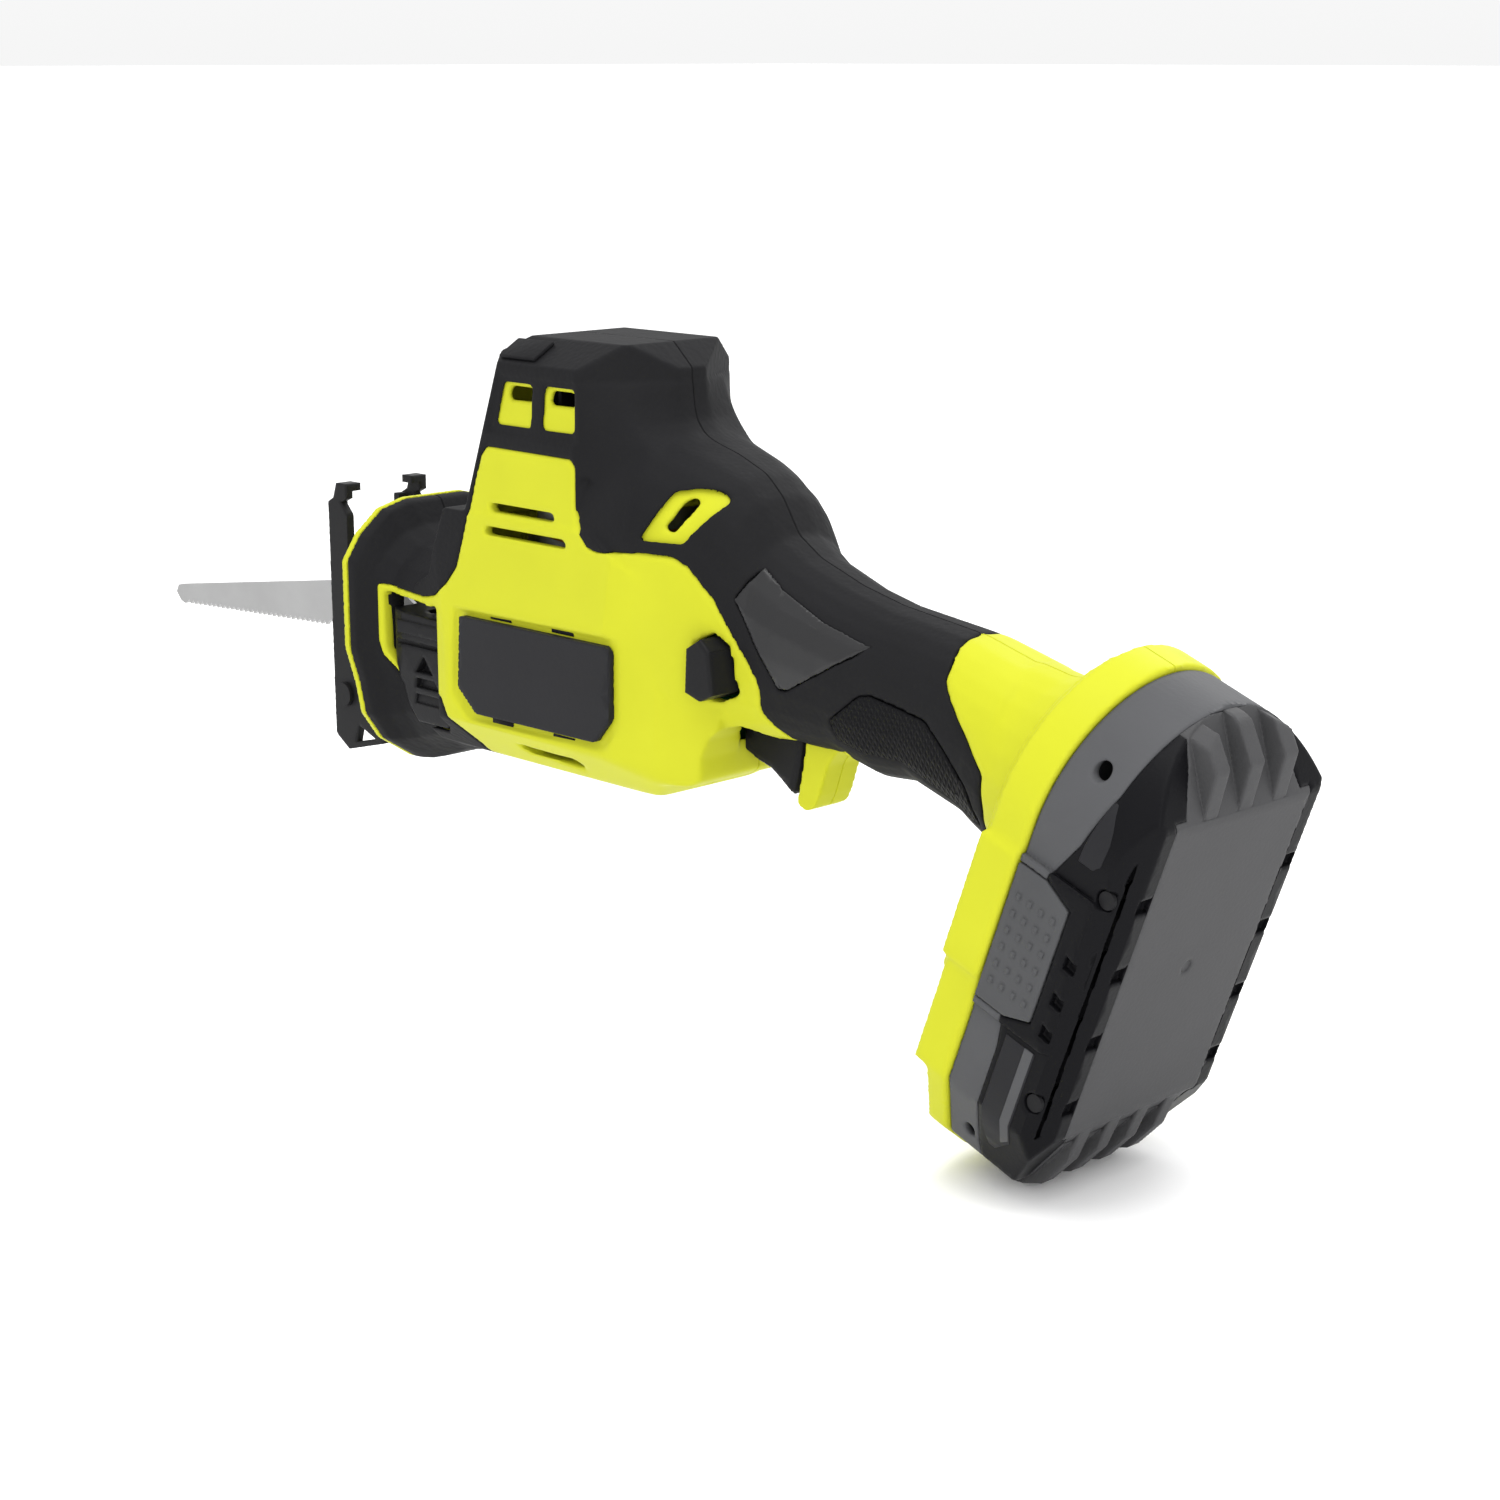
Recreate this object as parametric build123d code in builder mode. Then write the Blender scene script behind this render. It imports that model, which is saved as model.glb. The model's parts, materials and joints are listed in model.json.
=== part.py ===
"""A compact one-handed cordless reciprocating saw, as separate pieces.

Frame: +X is the way the blade points, +Y is the saw's left side, +Z is up. The origin is on the stroke axis, at the
shoe's front face. Units are millimetres.
"""

from build123d import *
from math import atan2, cos, pi, radians, sin
import os

os.makedirs("parts", exist_ok=True)

# ---------------------------------------------------------------- driving dimensions

# walls
RUBBER = 1.6            # overmould thickness
WALL = 3.6              # outside to cavity, where the overmould covers the shell
HALF_GAP = 0.05         # each housing half stops this far from the middle plane
FREE = 0.3              # gap between pieces that move past each other

# tower and body
SIDE = 30.6             # half-width of the body's side face
TOWER_SIDE = 27.9       # half-width of the tower at its shoulder
TOWER_TOP = 92.5        # height of the tower's flat top
TOWER_SHOULDER = 86.0   # height at which the tower's top bevels start
TOWER_RAKE = 0.3625     # how far the tower's front leans back, per unit of height
BODY_FLOOR = -29.5      # underside of the body

# nose
RING_FRONT = -30.0      # front face of the nose ring
RING_THICK = 2.2
RING_HALF = 32.4        # half-width of the nose ring
RING_TOP = 40.0
RING_FLOOR = -39.8

# stroke and drive
STROKE = 16.0
CRANK_X = -91.0         # crank axis
MODULE = 1.0
PINION_TEETH = 10
GEAR_TEETH = 38
MOTOR_X = CRANK_X - MODULE * (PINION_TEETH + GEAR_TEETH) / 2
PIN_R = 4.0
YOKE_TOP = 7.0
GEAR_LOW = 17.0
GEAR_THICK = 6.0
ROD_R = 6.0
REAR_ROD_R = 5.0
RUN = 0.05              # radial running clearance of a shaft

# motor
STATOR_R = 22.5
STATOR_LOW = 42.0
STATOR_HIGH = 66.0
ROTOR_R = 11.5
SHAFT_R = 2.5
FAN_R = 20.0

# blade
BLADE_THICK = 1.25
BLADE_ROOT = -44.0
BLADE_TIP = 108.0
TOOTH_PITCH = 2.66

# shoe
SHOE_HALF = 15.1        # half-width of the shoe
SHOE_SHEET = 2.5
SHOE_SLOT = 9.6         # half-width of the slot between the shoe's prongs
SHOE_PIVOT = (-6.2, -22.5)
PIVOT_R = 2.0

# handle and battery
HANDLE_SLOPE = 20.0     # the battery's direction, below the horizontal
PACK_FOOT = (-321.0, 0.0, -18.6)   # a point of the battery's flat underside
PACK_HALF = 35.0        # half-width of the battery, and radius of its round end
PACK_HIGH = 29.7        # underside to the top of the battery's case
SKIRT_LOW = 30.0        # lower edge of the housing's skirt, above the battery's underside
SKIRT_TOP = 46.0
ROUND_CENTRE = -5.0     # centre of the battery's round end
BULGE = 1.3             # how far the latches' zone stands out from the battery's sides
PACK_END = 92.0         # far, clipped end of the battery
CELL_R = 9.0
CELL_PITCH = 18.9
CELL_LENGTH = 60.0
CELLS = 5
STEM_HALF = 11.0        # half-width of the battery's stem

SLOPE = radians(HANDLE_SLOPE)
PACK = Plane(origin=PACK_FOOT, x_dir=(sin(SLOPE), 0, -cos(SLOPE)), z_dir=(cos(SLOPE), 0, sin(SLOPE)))
SIDE_VIEW = Plane(origin=(0, 0, 0), x_dir=(1, 0, 0), z_dir=(0, -1, 0))
FRONT_VIEW = Plane(origin=(0, 0, 0), x_dir=(0, 1, 0), z_dir=(1, 0, 0))
PACK_SIDE = Plane(origin=PACK_FOOT, x_dir=(sin(SLOPE), 0, -cos(SLOPE)), z_dir=(0, -1, 0))


# ---------------------------------------------------------------- helpers

def write(piece, name):
    """Labels a finished piece and writes its STEP file."""
    piece.part.label = name
    export_step(piece.part, f"parts/{name}.step")


def across(x):
    """The YZ plane at x, seen from the front: local x is +Y and local y is +Z."""
    return FRONT_VIEW.offset(x)


def side_prism(points, low, high):
    """A prism over an XZ outline, from y = low to y = high."""
    with BuildPart() as prism:
        with BuildSketch(SIDE_VIEW.offset(-high)):
            Polygon(*points, align=None)
        extrude(amount=high - low)
    return prism.part


def plan_prism(points, low, high):
    """A prism over an XY outline, from z = low to z = high."""
    with BuildPart() as prism:
        with BuildSketch(Plane.XY.offset(low)):
            Polygon(*points, align=None)
        extrude(amount=high - low)
    return prism.part


def mirrored(points):
    """Closes a half outline given for the + side with its mirror image about the vertical."""
    return points + [(-a, b) for a, b in reversed(points)]


def mirrored_plan(points):
    """Closes a half plan given for the + side with its mirror image about the X axis."""
    return points + [(a, -b) for a, b in reversed(points)]


def rod(x0, x1, radius, y=0.0, z=0.0):
    """A cylinder along X."""
    with BuildPart() as cylinder:
        with BuildSketch(across(x0)):
            with Locations((y, z)):
                Circle(radius)
        extrude(amount=x1 - x0)
    return cylinder.part


def post(x, y, z0, z1, radius):
    """A cylinder along Z."""
    with BuildPart() as cylinder:
        with BuildSketch(Plane.XY.offset(z0)):
            with Locations((x, y)):
                Circle(radius)
        extrude(amount=z1 - z0)
    return cylinder.part


def pin_across(x, z, low, high, radius):
    """A cylinder along Y."""
    with BuildPart() as cylinder:
        with BuildSketch(SIDE_VIEW.offset(-high)):
            with Locations((x, z)):
                Circle(radius)
        extrude(amount=high - low)
    return cylinder.part


def block(x0, x1, y0, y1, z0, z1):
    """A box between two corners."""
    return plan_prism([(x0, y0), (x1, y0), (x1, y1), (x0, y1)], z0, z1)


def in_pack(points, low, high):
    """A prism over an outline in the battery's own plan, between two heights above its underside."""
    with BuildPart() as prism:
        with BuildSketch(PACK.offset(low)):
            Polygon(*points, align=None)
        extrude(amount=high - low)
    return prism.part


def in_pack_side(points, low, high):
    """A prism over a side outline of the battery, from y = low to y = high."""
    with BuildPart() as prism:
        with BuildSketch(PACK_SIDE.offset(-high)):
            Polygon(*points, align=None)
        extrude(amount=high - low)
    return prism.part


# ---------------------------------------------------------------- outer form

TOWER_PROFILE = [(-99, TOWER_TOP), (-90.5, TOWER_SHOULDER), (-76, 46), (-71.5, 34), (-71.5, 15), (-152, 15),
                 (-152, 68), (-146.5, 72), (-145.5, 84.5), (-144.8, TOWER_SHOULDER), (-137.5, TOWER_TOP)]
TOWER_FRONT = mirrored([(29.8, 15), (TOWER_SIDE, TOWER_SHOULDER), (17.0, TOWER_TOP)])
TOWER_PLAN = [(-50, 45), (-118.9, 45), (-144.8, 5), (-144.8, -5), (-118.9, -45), (-50, -45)]
BODY_PROFILE = [(-58, BODY_FLOOR), (-138, BODY_FLOOR), (-150.5, -27.3), (-158, -21.4), (-166.5, -21.0),
                (-172, -17.5), (-176, 0), (-176, 14), (-152, 34), (-136, 44), (-74, 44), (-66, 24), (-58, 20)]
BODY_FRONT = mirrored([(12, BODY_FLOOR), (20, -26.2), (SIDE, -15.5), (SIDE, 6), (29.2, 50)])
BODY_PLAN = [(-56, 27.4), (-74, 30.4), (-76, 31), (-138, 31), (-158, 26.6), (-178, 19.0),
             (-178, -19.0), (-158, -26.6), (-138, -31), (-76, -31), (-74, -30.4), (-56, -27.4)]

# height, how far the tower's rear sweeps out at the middle, and at the side
REAR_SWEEP = [(58, 18, 15), (66, 11, 11.5), (69, 4.6, 8.4), (72.5, 1.6, 5.4), (77, 0.5, 2.6), (82, 0.1, 0.6)]

# x, half-width, top, floor
NOSE_STATIONS = [(-32.2, 32.4, 40.0, -39.8), (-35.6, 32.0, 39.4, -39.6), (-39.5, 28.0, 32.6, -39.2),
                 (-45.0, 26.0, 29.6, -37.6), (-56.0, 27.6, 29.6, -33.4), (-78.0, 30.2, 30.0, -29.4)]

# x, top, floor, half-width, squareness
HANDLE_STATIONS = [(-126, 69.0, -20.0, 29.4, 3.6), (-149, 68.6, -21.0, 28.5, 3.2), (-163, 64.8, -18.0, 26.3, 2.9),
                   (-173, 60.8, -11.5, 24.0, 2.7), (-179, 55.5, -9.0, 22.2, 2.6), (-185, 46.2, -8.0, 20.0, 2.5),
                   (-193, 41.2, -7.6, 18.6, 2.4), (-208, 36.0, -7.8, 17.4, 2.3), (-222, 32.8, -11.2, 17.2, 2.3),
                   (-234, 31.3, -10.4, 17.3, 2.3), (-250, 29.2, -15.0, 18.2, 2.4), (-268, 24.2, -21.4, 19.4, 2.5)]


def ring_outline(half, top, floor):
    """The nose's faceted outline, scaled to a half-width, a top and a floor."""
    upper = [(0.33, 1.0), (0.60, 0.945), (0.855, 0.775), (1.0, 0.60)]
    lower = [(1.0, 0.05), (0.905, 0.315), (0.85, 0.555), (0.67, 0.77), (0.30, 0.965)]
    right = [(a * half, b * top) for a, b in upper] + [(a * half, b * floor) for a, b in lower]
    return mirrored(right)


def rounded_outline(centre, height, half, power, points=24):
    """Points of a superellipse: a rounded box whose squareness grows with power."""
    outline = []
    for i in range(points):
        turn = 2 * pi * i / points
        a = abs(cos(turn)) ** (2 / power) * half * (1 if cos(turn) >= 0 else -1)
        b = abs(sin(turn)) ** (2 / power) * height * (1 if sin(turn) >= 0 else -1)
        outline.append((a, centre + b))
    return outline


def tower(inset):
    """The tower, shrunk by inset on every side."""
    with BuildPart() as form:
        with BuildSketch(SIDE_VIEW.offset(-40)):
            Polygon(*TOWER_PROFILE, align=None)
            offset(amount=-inset, kind=Kind.INTERSECTION)
        extrude(amount=80)
        with BuildSketch(across(-160)):
            Polygon(*TOWER_FRONT, align=None)
            offset(amount=-inset, kind=Kind.INTERSECTION)
        extrude(amount=110, mode=Mode.INTERSECT)
        with BuildSketch(Plane.XY.offset(10)):
            Polygon(*TOWER_PLAN, align=None)
            offset(amount=-inset, kind=Kind.INTERSECTION)
        extrude(amount=90, mode=Mode.INTERSECT)
        for height in (10, 100):
            front = -90.5 + (TOWER_SHOULDER - height) * TOWER_RAKE - inset
            corner = TOWER_SIDE - 7 - inset * 0.4
            with BuildSketch(Plane.XY.offset(height)):
                Polygon((front, corner), (front - 40, corner + 40), (-200, corner + 40),
                        (-200, -corner - 40), (front - 40, -corner - 40), (front, -corner), align=None)
        loft(ruled=True, mode=Mode.INTERSECT)
        for height, middle, side in REAR_SWEEP:
            with BuildSketch(Plane.XY.offset(height - inset)):
                Polygon(*mirrored_plan([(-112, TOWER_SIDE - inset), (-130.2 + inset, TOWER_SIDE - inset),
                                        (-137 - side + inset, 18), (-145 - middle + inset, 5)]), align=None)
        loft(ruled=True)
    return form.part


def body(inset):
    """The lower body, shrunk by inset on every side."""
    with BuildPart() as form:
        with BuildSketch(SIDE_VIEW.offset(-40)):
            Polygon(*BODY_PROFILE, align=None)
            offset(amount=-inset, kind=Kind.INTERSECTION)
        extrude(amount=80)
        with BuildSketch(across(-190)):
            Polygon(*BODY_FRONT, align=None)
            offset(amount=-inset, kind=Kind.INTERSECTION)
        extrude(amount=150, mode=Mode.INTERSECT)
        with BuildSketch(Plane.XY.offset(-40)):
            Polygon(*BODY_PLAN, align=None)
            offset(amount=-inset, kind=Kind.INTERSECTION)
        extrude(amount=100, mode=Mode.INTERSECT)
    return form.part


def nose(inset):
    """The nose behind its ring: a lip, then a waist, then the body's own section."""
    with BuildPart() as form:
        for x, half, top, floor in NOSE_STATIONS:
            with BuildSketch(across(x)):
                Polygon(*ring_outline(half, top, floor), align=None)
                offset(amount=-inset, kind=Kind.INTERSECTION)
        loft(ruled=True)
    return form.part


def handle(inset):
    """The shoulder behind the tower and the handle, as one run of many-sided sections."""
    with BuildPart() as form:
        for x, top, floor, half, power in HANDLE_STATIONS:
            outline = rounded_outline((top + floor) / 2, (top - floor) / 2 - inset, half - inset, power)
            with BuildSketch(across(x)):
                Polygon(*outline, align=None)
        loft(ruled=True)
    return form.part


def pack_outline(grow):
    """The battery's plan: a round end, straight sides and a clipped end, as corner points of the straight part."""
    half = PACK_HALF + grow
    return half, [(ROUND_CENTRE, half), (66, half), (84, 27 + grow), (PACK_END + grow, 16),
                  (PACK_END + grow, -16), (84, -27 - grow), (66, -half), (ROUND_CENTRE, -half)]


def pack_slab(grow, low, high):
    """A slab of the battery's plan between two heights above its underside."""
    half, corners = pack_outline(grow)
    with BuildPart() as slab:
        with BuildSketch(PACK.offset(low)):
            Polygon(*corners, align=None)
            with Locations((ROUND_CENTRE, 0)):
                Circle(half)
        extrude(amount=high - low)
    return slab.part


def skirt(inset):
    """The flared end of the handle that covers the battery's top."""
    with BuildPart() as form:
        low_edge = SKIRT_LOW if inset < WALL else SKIRT_LOW - 2
        add(pack_slab(1.0 - inset, low_edge, 41 - inset))
        for grow, low, high in ((-1.4, 41, 43.2), (-4.2, 43.2, 44.8), (-7.6, 44.8, SKIRT_TOP)):
            add(pack_slab(grow - inset, low - inset, high - inset))
        side = PACK_HALF + BULGE + 1.0 - inset
        add(in_pack([(2.4 + inset, side), (36.6 - inset, side), (36.6 - inset, -side), (2.4 + inset, -side)],
                    low_edge, 42 - inset))
        stairs = [(42, 60), (42, 41), (67, 41), (67, 37), (100, 37), (100, 60)]
        add(in_pack_side([(b - inset, h - inset) for b, h in stairs], -50, 50), mode=Mode.SUBTRACT)
        for height, long, wide in ((44 - inset, 34, 26), (50, 27, 22), (56, 24.2, 20.4), (66, 22.6, 19.2)):
            with BuildSketch(PACK.offset(height)):
                Polygon(*rounded_outline(0, wide - inset, long - inset, 2), align=None)
        loft(ruled=True)
    return form.part


def envelope(inset):
    """The saw's whole outer form, shrunk by inset on every side."""
    with BuildPart() as form:
        add(body(inset))
        add(tower(inset))
        add(nose(inset))
        add(handle(inset))
        add(skirt(inset))
    return form.part


# ---------------------------------------------------------------- housing and overmould

# outlines seen from the side: (x, z)
LIME_BODY = [(-40.3, 17.7), (-62, 16.8), (-69, 18.2), (-75, 22.5), (-79.8, 28), (-83, 37.5), (-90.2, 60), (-92.7, 62.6),
             (-127.6, 62.4), (-129.4, 60.6), (-129.4, 49.6), (-131.8, 43.4), (-135.2, 39.9), (-139, 39.2),
             (-153.8, 40.4), (-163.4, 40.3), (-168, 38.5), (-176, 31), (-187.9, 11.3), (-188.7, 8.8), (-187.9, 2.2),
             (-192.8, -5.2), (-196.4, -7.6), (-200, -8.3), (-206, -7.0), (-213, -4.5), (-213, -40), (-84, -40),
             (-80, -23.5), (-71.6, -10.5), (-47, -10.5), (-41.2, -3.5), (-40.2, 1)]
LIME_COLLAR = [(-244, 40), (-247.6, 29.4), (-249.9, 23), (-249.9, 20), (-252.4, 16.4), (-265.4, 0.4), (-264.6, -10),
               (-262, -28), (-240, -36), (-240, -130), (-360, -130), (-360, 60)]
TRIGGER_MOUTH = [(-170, -34), (-170.4, -12.5), (-172.3, -7), (-175.5, -3.9), (-178.6, -3.3), (-182.6, -4.5),
                 (-191.8, -9.8), (-192.4, -13.8), (-190.2, -24), (-190.2, -34)]
TRIGGER_SLOT = [(-170.2, -30), (-170.2, -4), (-173, 3), (-195, 3), (-194, -6), (-192.6, -13.8), (-190.4, -24),
                (-190.4, -30)]
HOOK = [(-188, -11), (-192.2, -13.6), (-190.2, -22), (-191.4, -24.2), (-194.2, -24.8), (-197, -23.4),
        (-198.8, -19.8), (-201.6, -11.4), (-206, -5.5), (-206, 2), (-196, 2)]
HOOK_HALF = 6.4
LEVER_WINDOW = [(-42, 15.6), (-66, 14.6), (-70, 15.4), (-70, -20), (-66, -22.6), (-52, -22.6), (-48.6, -17.5),
                (-48.2, -11.4), (-42.4, -1.2)]
WINDOWS = [[(-99.6, 80.6), (-111.2, 80.6), (-110.2, 69.4), (-96.2, 69.2)],
           [(-116.6, 80.6), (-128.4, 80.6), (-128.2, 69.6), (-115.4, 69.4)]]
WINDOW_HOLES = [[(-101.0, 79.8), (-110.6, 79.8), (-110.2, 76.2), (-100.0, 76.0)],
                [(-118.0, 79.8), (-127.6, 79.8), (-127.6, 76.2), (-117.4, 76.0)]]
WINDOW_FRAME = [(-97.2, 83), (-130.6, 83), (-130.6, 66.4), (-92.2, 66.4)]
SIDE_VENTS = [[(-94.4, 47.5), (-120.2, 47.5), (-121.8, 45.0), (-93.8, 45.0)],
              [(-92.6, 40.8), (-125.3, 40.8), (-127.2, 38.5), (-92.0, 38.5)],
              [(-99, -19.4), (-125, -20.2), (-125.6, -22.6), (-104, -22.2)]]
REAR_VENT = [(-160.4, 56.8), (-176.2, 57.7), (-166, 44.4), (-152.3, 43.8)]
REAR_VENT_HOLE = [(-163.0, 54.6), (-166.8, 54.9), (-162.0, 46.8), (-158.2, 46.6)]
NAME_PLATE = [(-82.1, 14.6), (-143.9, 14.8), (-145.1, 13.6), (-144.8, -5.2), (-139, -11.9), (-88.3, -12.4), (-80.8, -6)]
PLATE_RECESS = [(-78.6, 16.5), (-146.1, 17.0), (-148, 14.8), (-147.7, -6.1), (-141.1, -14.3), (-85, -14.9), (-77.4, -8.4)]
LOCK_HOLE = [(-176.6, 22.4), (-181.0, 19), (-182.4, 6.4), (-176.4, 3.6), (-169.6, 5.4), (-170.2, 19)]
PANEL = [(-181.6, 31.5), (-186.4, 40), (-193.6, 46), (-202.4, 48), (-242.5, 36.5), (-238.3, 33), (-232.4, 29.8),
         (-226.8, 25.6), (-197.7, 9.5), (-194.8, 9.5), (-187.4, 20.5)]
GRIP_PAD = [(-211.5, 4.2), (-222.4, 12.0), (-226, 12.8), (-244.6, 9.8), (-248.2, 7), (-258.8, -4), (-261.6, -14),
            (-250, -12), (-232, -9), (-213, -4)]
MOUTH = [(15, 21), (20.5, 12), (20.5, -12), (15, -33), (-15, -33), (-20.5, -12), (-20.5, 12), (-15, 21)]

SCREWS = [(-75, -21), (-102, -20), (-134, -18.5), (-151, 26), (-152, 58), (-212, 18)]
BOSS_R = 3.6
SCREW_R = 1.5
HEAD_R = 2.8

outer = envelope(0)
under = envelope(RUBBER)
hollow = envelope(WALL)
lime_zone = side_prism(LIME_BODY, -60, 60) + side_prism(LIME_COLLAR, -60, 60)

with BuildPart() as side_openings:
    for edge in (1, -1):
        low, high = sorted((edge * 14, edge * 60))
        for outline in WINDOW_HOLES + SIDE_VENTS + [REAR_VENT_HOLE, TRIGGER_MOUTH, LOCK_HOLE]:
            add(side_prism(outline, low, high))
        low, high = sorted((edge * (SIDE - 1.6), edge * 60))
        add(side_prism(PLATE_RECESS, low, high))
        low, high = sorted((edge * (TOWER_SIDE - 0.4), edge * 60))
        add(side_prism(WINDOW_FRAME, low, high))
    add(side_prism(TRIGGER_MOUTH, -15, 15))
    add(side_prism(LEVER_WINDOW, 12, 60))

with BuildPart() as bare_shell:
    add(outer)
    add(lime_zone, mode=Mode.INTERSECT)
    add(under)
    add(hollow, mode=Mode.SUBTRACT)
    add(side_prism(HOOK, -HOOK_HALF, HOOK_HALF))
    add(side_openings.part, mode=Mode.SUBTRACT)
    add(side_prism(TRIGGER_SLOT, -7.9, 7.9), mode=Mode.SUBTRACT)
    add(in_pack_side([(-16.2, 20), (12.2, 20), (12.2, 95), (-16.2, 95)], -STEM_HALF - 1.2, STEM_HALF + 1.2),
        mode=Mode.SUBTRACT)

with BuildPart() as rubber_skin:
    add(outer)
    add(under, mode=Mode.SUBTRACT)
    add(lime_zone, mode=Mode.SUBTRACT)
    add(side_openings.part, mode=Mode.SUBTRACT)
    for edge in (1, -1):
        low, high = sorted((edge * 14, edge * 60))
        for outline in WINDOWS + [REAR_VENT, GRIP_PAD, PANEL]:
            add(side_prism(outline, low, high), mode=Mode.SUBTRACT)
    add(side_prism(HOOK, -HOOK_HALF, HOOK_HALF), mode=Mode.SUBTRACT)


def inlay(outline):
    """The overmould's thickness over a side outline, a little smaller than the outline, on both sides."""
    with BuildPart() as skin:
        add(outer)
        add(under, mode=Mode.SUBTRACT)
        with BuildSketch(SIDE_VIEW.offset(-60)):
            Polygon(*outline, align=None)
            offset(amount=-0.15, kind=Kind.INTERSECTION)
        extrude(amount=120, mode=Mode.INTERSECT)
        add(block(-300, -160, -14, 14, -60, 60), mode=Mode.SUBTRACT)
    return skin.part


pad_skin = inlay(GRIP_PAD)
panel_skin = inlay(PANEL)


def screw_bosses(low, high, radius):
    """Posts along Y at every screw."""
    with BuildPart() as posts:
        for x, z in SCREWS:
            add(pin_across(x, z, low, high, radius))
    return posts.part


with BuildPart() as ribs:
    for low in (50, 60.6):
        add(block(-150, -78, -40, 40, low, low + 2))
    add(post(MOTOR_X, 0, 40, 70, STATOR_R), mode=Mode.SUBTRACT)
    for low in (-120, -80):
        add(block(low, low + 2, -40, 40, -40, 26))
    add(block(-126, -66, -24.5, 24.5, -13, 40), mode=Mode.SUBTRACT)
    add(block(-58, -51, -16, 16, -40, -24.6))
    add(block(-140, -70, -40, 40, 82.4, 85.6))
    add(post(MOTOR_X, 0, 82, 86, 6.5), mode=Mode.SUBTRACT)
    add(screw_bosses(-40, 40, BOSS_R))
    add(hollow, mode=Mode.INTERSECT)

with BuildPart() as whole_shell:
    add(bare_shell.part)
    add(ribs.part)
    add(screw_bosses(-60, 12, SCREW_R + 0.05), mode=Mode.SUBTRACT)
    add(screw_bosses(-60, -14, HEAD_R + 0.3), mode=Mode.SUBTRACT)
    add(side_prism(LEVER_WINDOW, 12, 60), mode=Mode.SUBTRACT)

with BuildPart() as left_housing:
    add(whole_shell.part)
    add(block(-400, 100, -100, HALF_GAP, -200, 200), mode=Mode.SUBTRACT)

with BuildPart() as right_housing:
    add(whole_shell.part)
    add(block(-400, 100, -HALF_GAP, 100, -200, 200), mode=Mode.SUBTRACT)

with BuildPart() as left_overmold:
    add(rubber_skin.part)
    add(block(-400, 100, -100, HALF_GAP, -200, 200), mode=Mode.SUBTRACT)

with BuildPart() as right_overmold:
    add(rubber_skin.part)
    add(screw_bosses(-60, -14, HEAD_R + 0.3), mode=Mode.SUBTRACT)
    add(block(-400, 100, -HALF_GAP, 100, -200, 200), mode=Mode.SUBTRACT)

with BuildPart() as left_grip_pad:
    add(pad_skin)
    add(block(-400, 100, -100, HALF_GAP, -200, 200), mode=Mode.SUBTRACT)

with BuildPart() as right_grip_pad:
    add(pad_skin)
    add(block(-400, 100, -HALF_GAP, 100, -200, 200), mode=Mode.SUBTRACT)

with BuildPart() as left_smooth_panel:
    add(panel_skin)
    add(block(-400, 100, -100, HALF_GAP, -200, 200), mode=Mode.SUBTRACT)

with BuildPart() as right_smooth_panel:
    add(panel_skin)
    add(screw_bosses(-60, -14, HEAD_R + 0.3), mode=Mode.SUBTRACT)
    add(block(-400, 100, -HALF_GAP, 100, -200, 200), mode=Mode.SUBTRACT)

with BuildPart() as left_label_plate:
    add(side_prism(NAME_PLATE, SIDE - 1.6, SIDE + 0.4))

with BuildPart() as right_label_plate:
    add(side_prism(NAME_PLATE, -SIDE - 0.4, -SIDE + 1.6))

with BuildPart() as housing_screws:
    add(screw_bosses(-14, 10, SCREW_R))
    add(screw_bosses(-16.4, -14, HEAD_R))

with BuildPart() as nose_ring:
    with BuildSketch(across(RING_FRONT - RING_THICK)):
        Polygon(*ring_outline(RING_HALF, RING_TOP, RING_FLOOR), align=None)
        Polygon(*MOUTH, align=None, mode=Mode.SUBTRACT)
    extrude(amount=RING_THICK)

# ---------------------------------------------------------------- gear case

CASE_PLAN = [(-125, 24.5), (-77.5, 24.5), (-77.5, 20), (-67.6, 9), (-67.6, -9), (-77.5, -20), (-77.5, -24.5),
             (-125, -24.5)]

with BuildPart() as gear_case:
    add(block(-125, -71.5, -24.5, 24.5, -13, 15.5))
    add(plan_prism(CASE_PLAN, 15.2, 25.8))
    add(block(-125, -76, -24.5, 24.5, 25.8, 28))
    add(rod(-72, -56, 11))
    add(block(-122, -74.3, -22, 22, -10, 15.5), mode=Mode.SUBTRACT)
    add(block(-122, -84, -22, 22, 15, 30), mode=Mode.SUBTRACT)
    add(post(CRANK_X, 0, 15, 16.6, 16.5), mode=Mode.SUBTRACT)
    add(post(CRANK_X, 0, 16.6, 23.6, 20.9), mode=Mode.SUBTRACT)
    add(post(CRANK_X, 0, 23, 30, 14.9), mode=Mode.SUBTRACT)
    add(rod(-75, -55, 6.6), mode=Mode.SUBTRACT)
    add(rod(-71.5, -55, 9), mode=Mode.SUBTRACT)
    add(rod(-126, -118, 8), mode=Mode.SUBTRACT)

with BuildPart() as gear_case_cover:
    add(block(-125, -76, -24.5, 24.5, 28, 31))
    add(post(MOTOR_X, 0, 31, 37, 10))
    add(post(CRANK_X, 0, 31, 36, 10))
    add(post(MOTOR_X, 0, 28, 31, 7), mode=Mode.SUBTRACT)
    add(post(MOTOR_X, 0, 31, 38, 8), mode=Mode.SUBTRACT)
    add(post(CRANK_X, 0, 28, 29, 6), mode=Mode.SUBTRACT)
    add(post(CRANK_X, 0, 29, 36, 8), mode=Mode.SUBTRACT)

with BuildPart() as front_bushing:
    add(rod(-71.5, -58, 9))
    add(rod(-72, -57, ROD_R + RUN), mode=Mode.SUBTRACT)

with BuildPart() as felt_seal:
    add(rod(-58, -56, 9))
    add(rod(-59, -55, ROD_R + RUN), mode=Mode.SUBTRACT)

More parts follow.
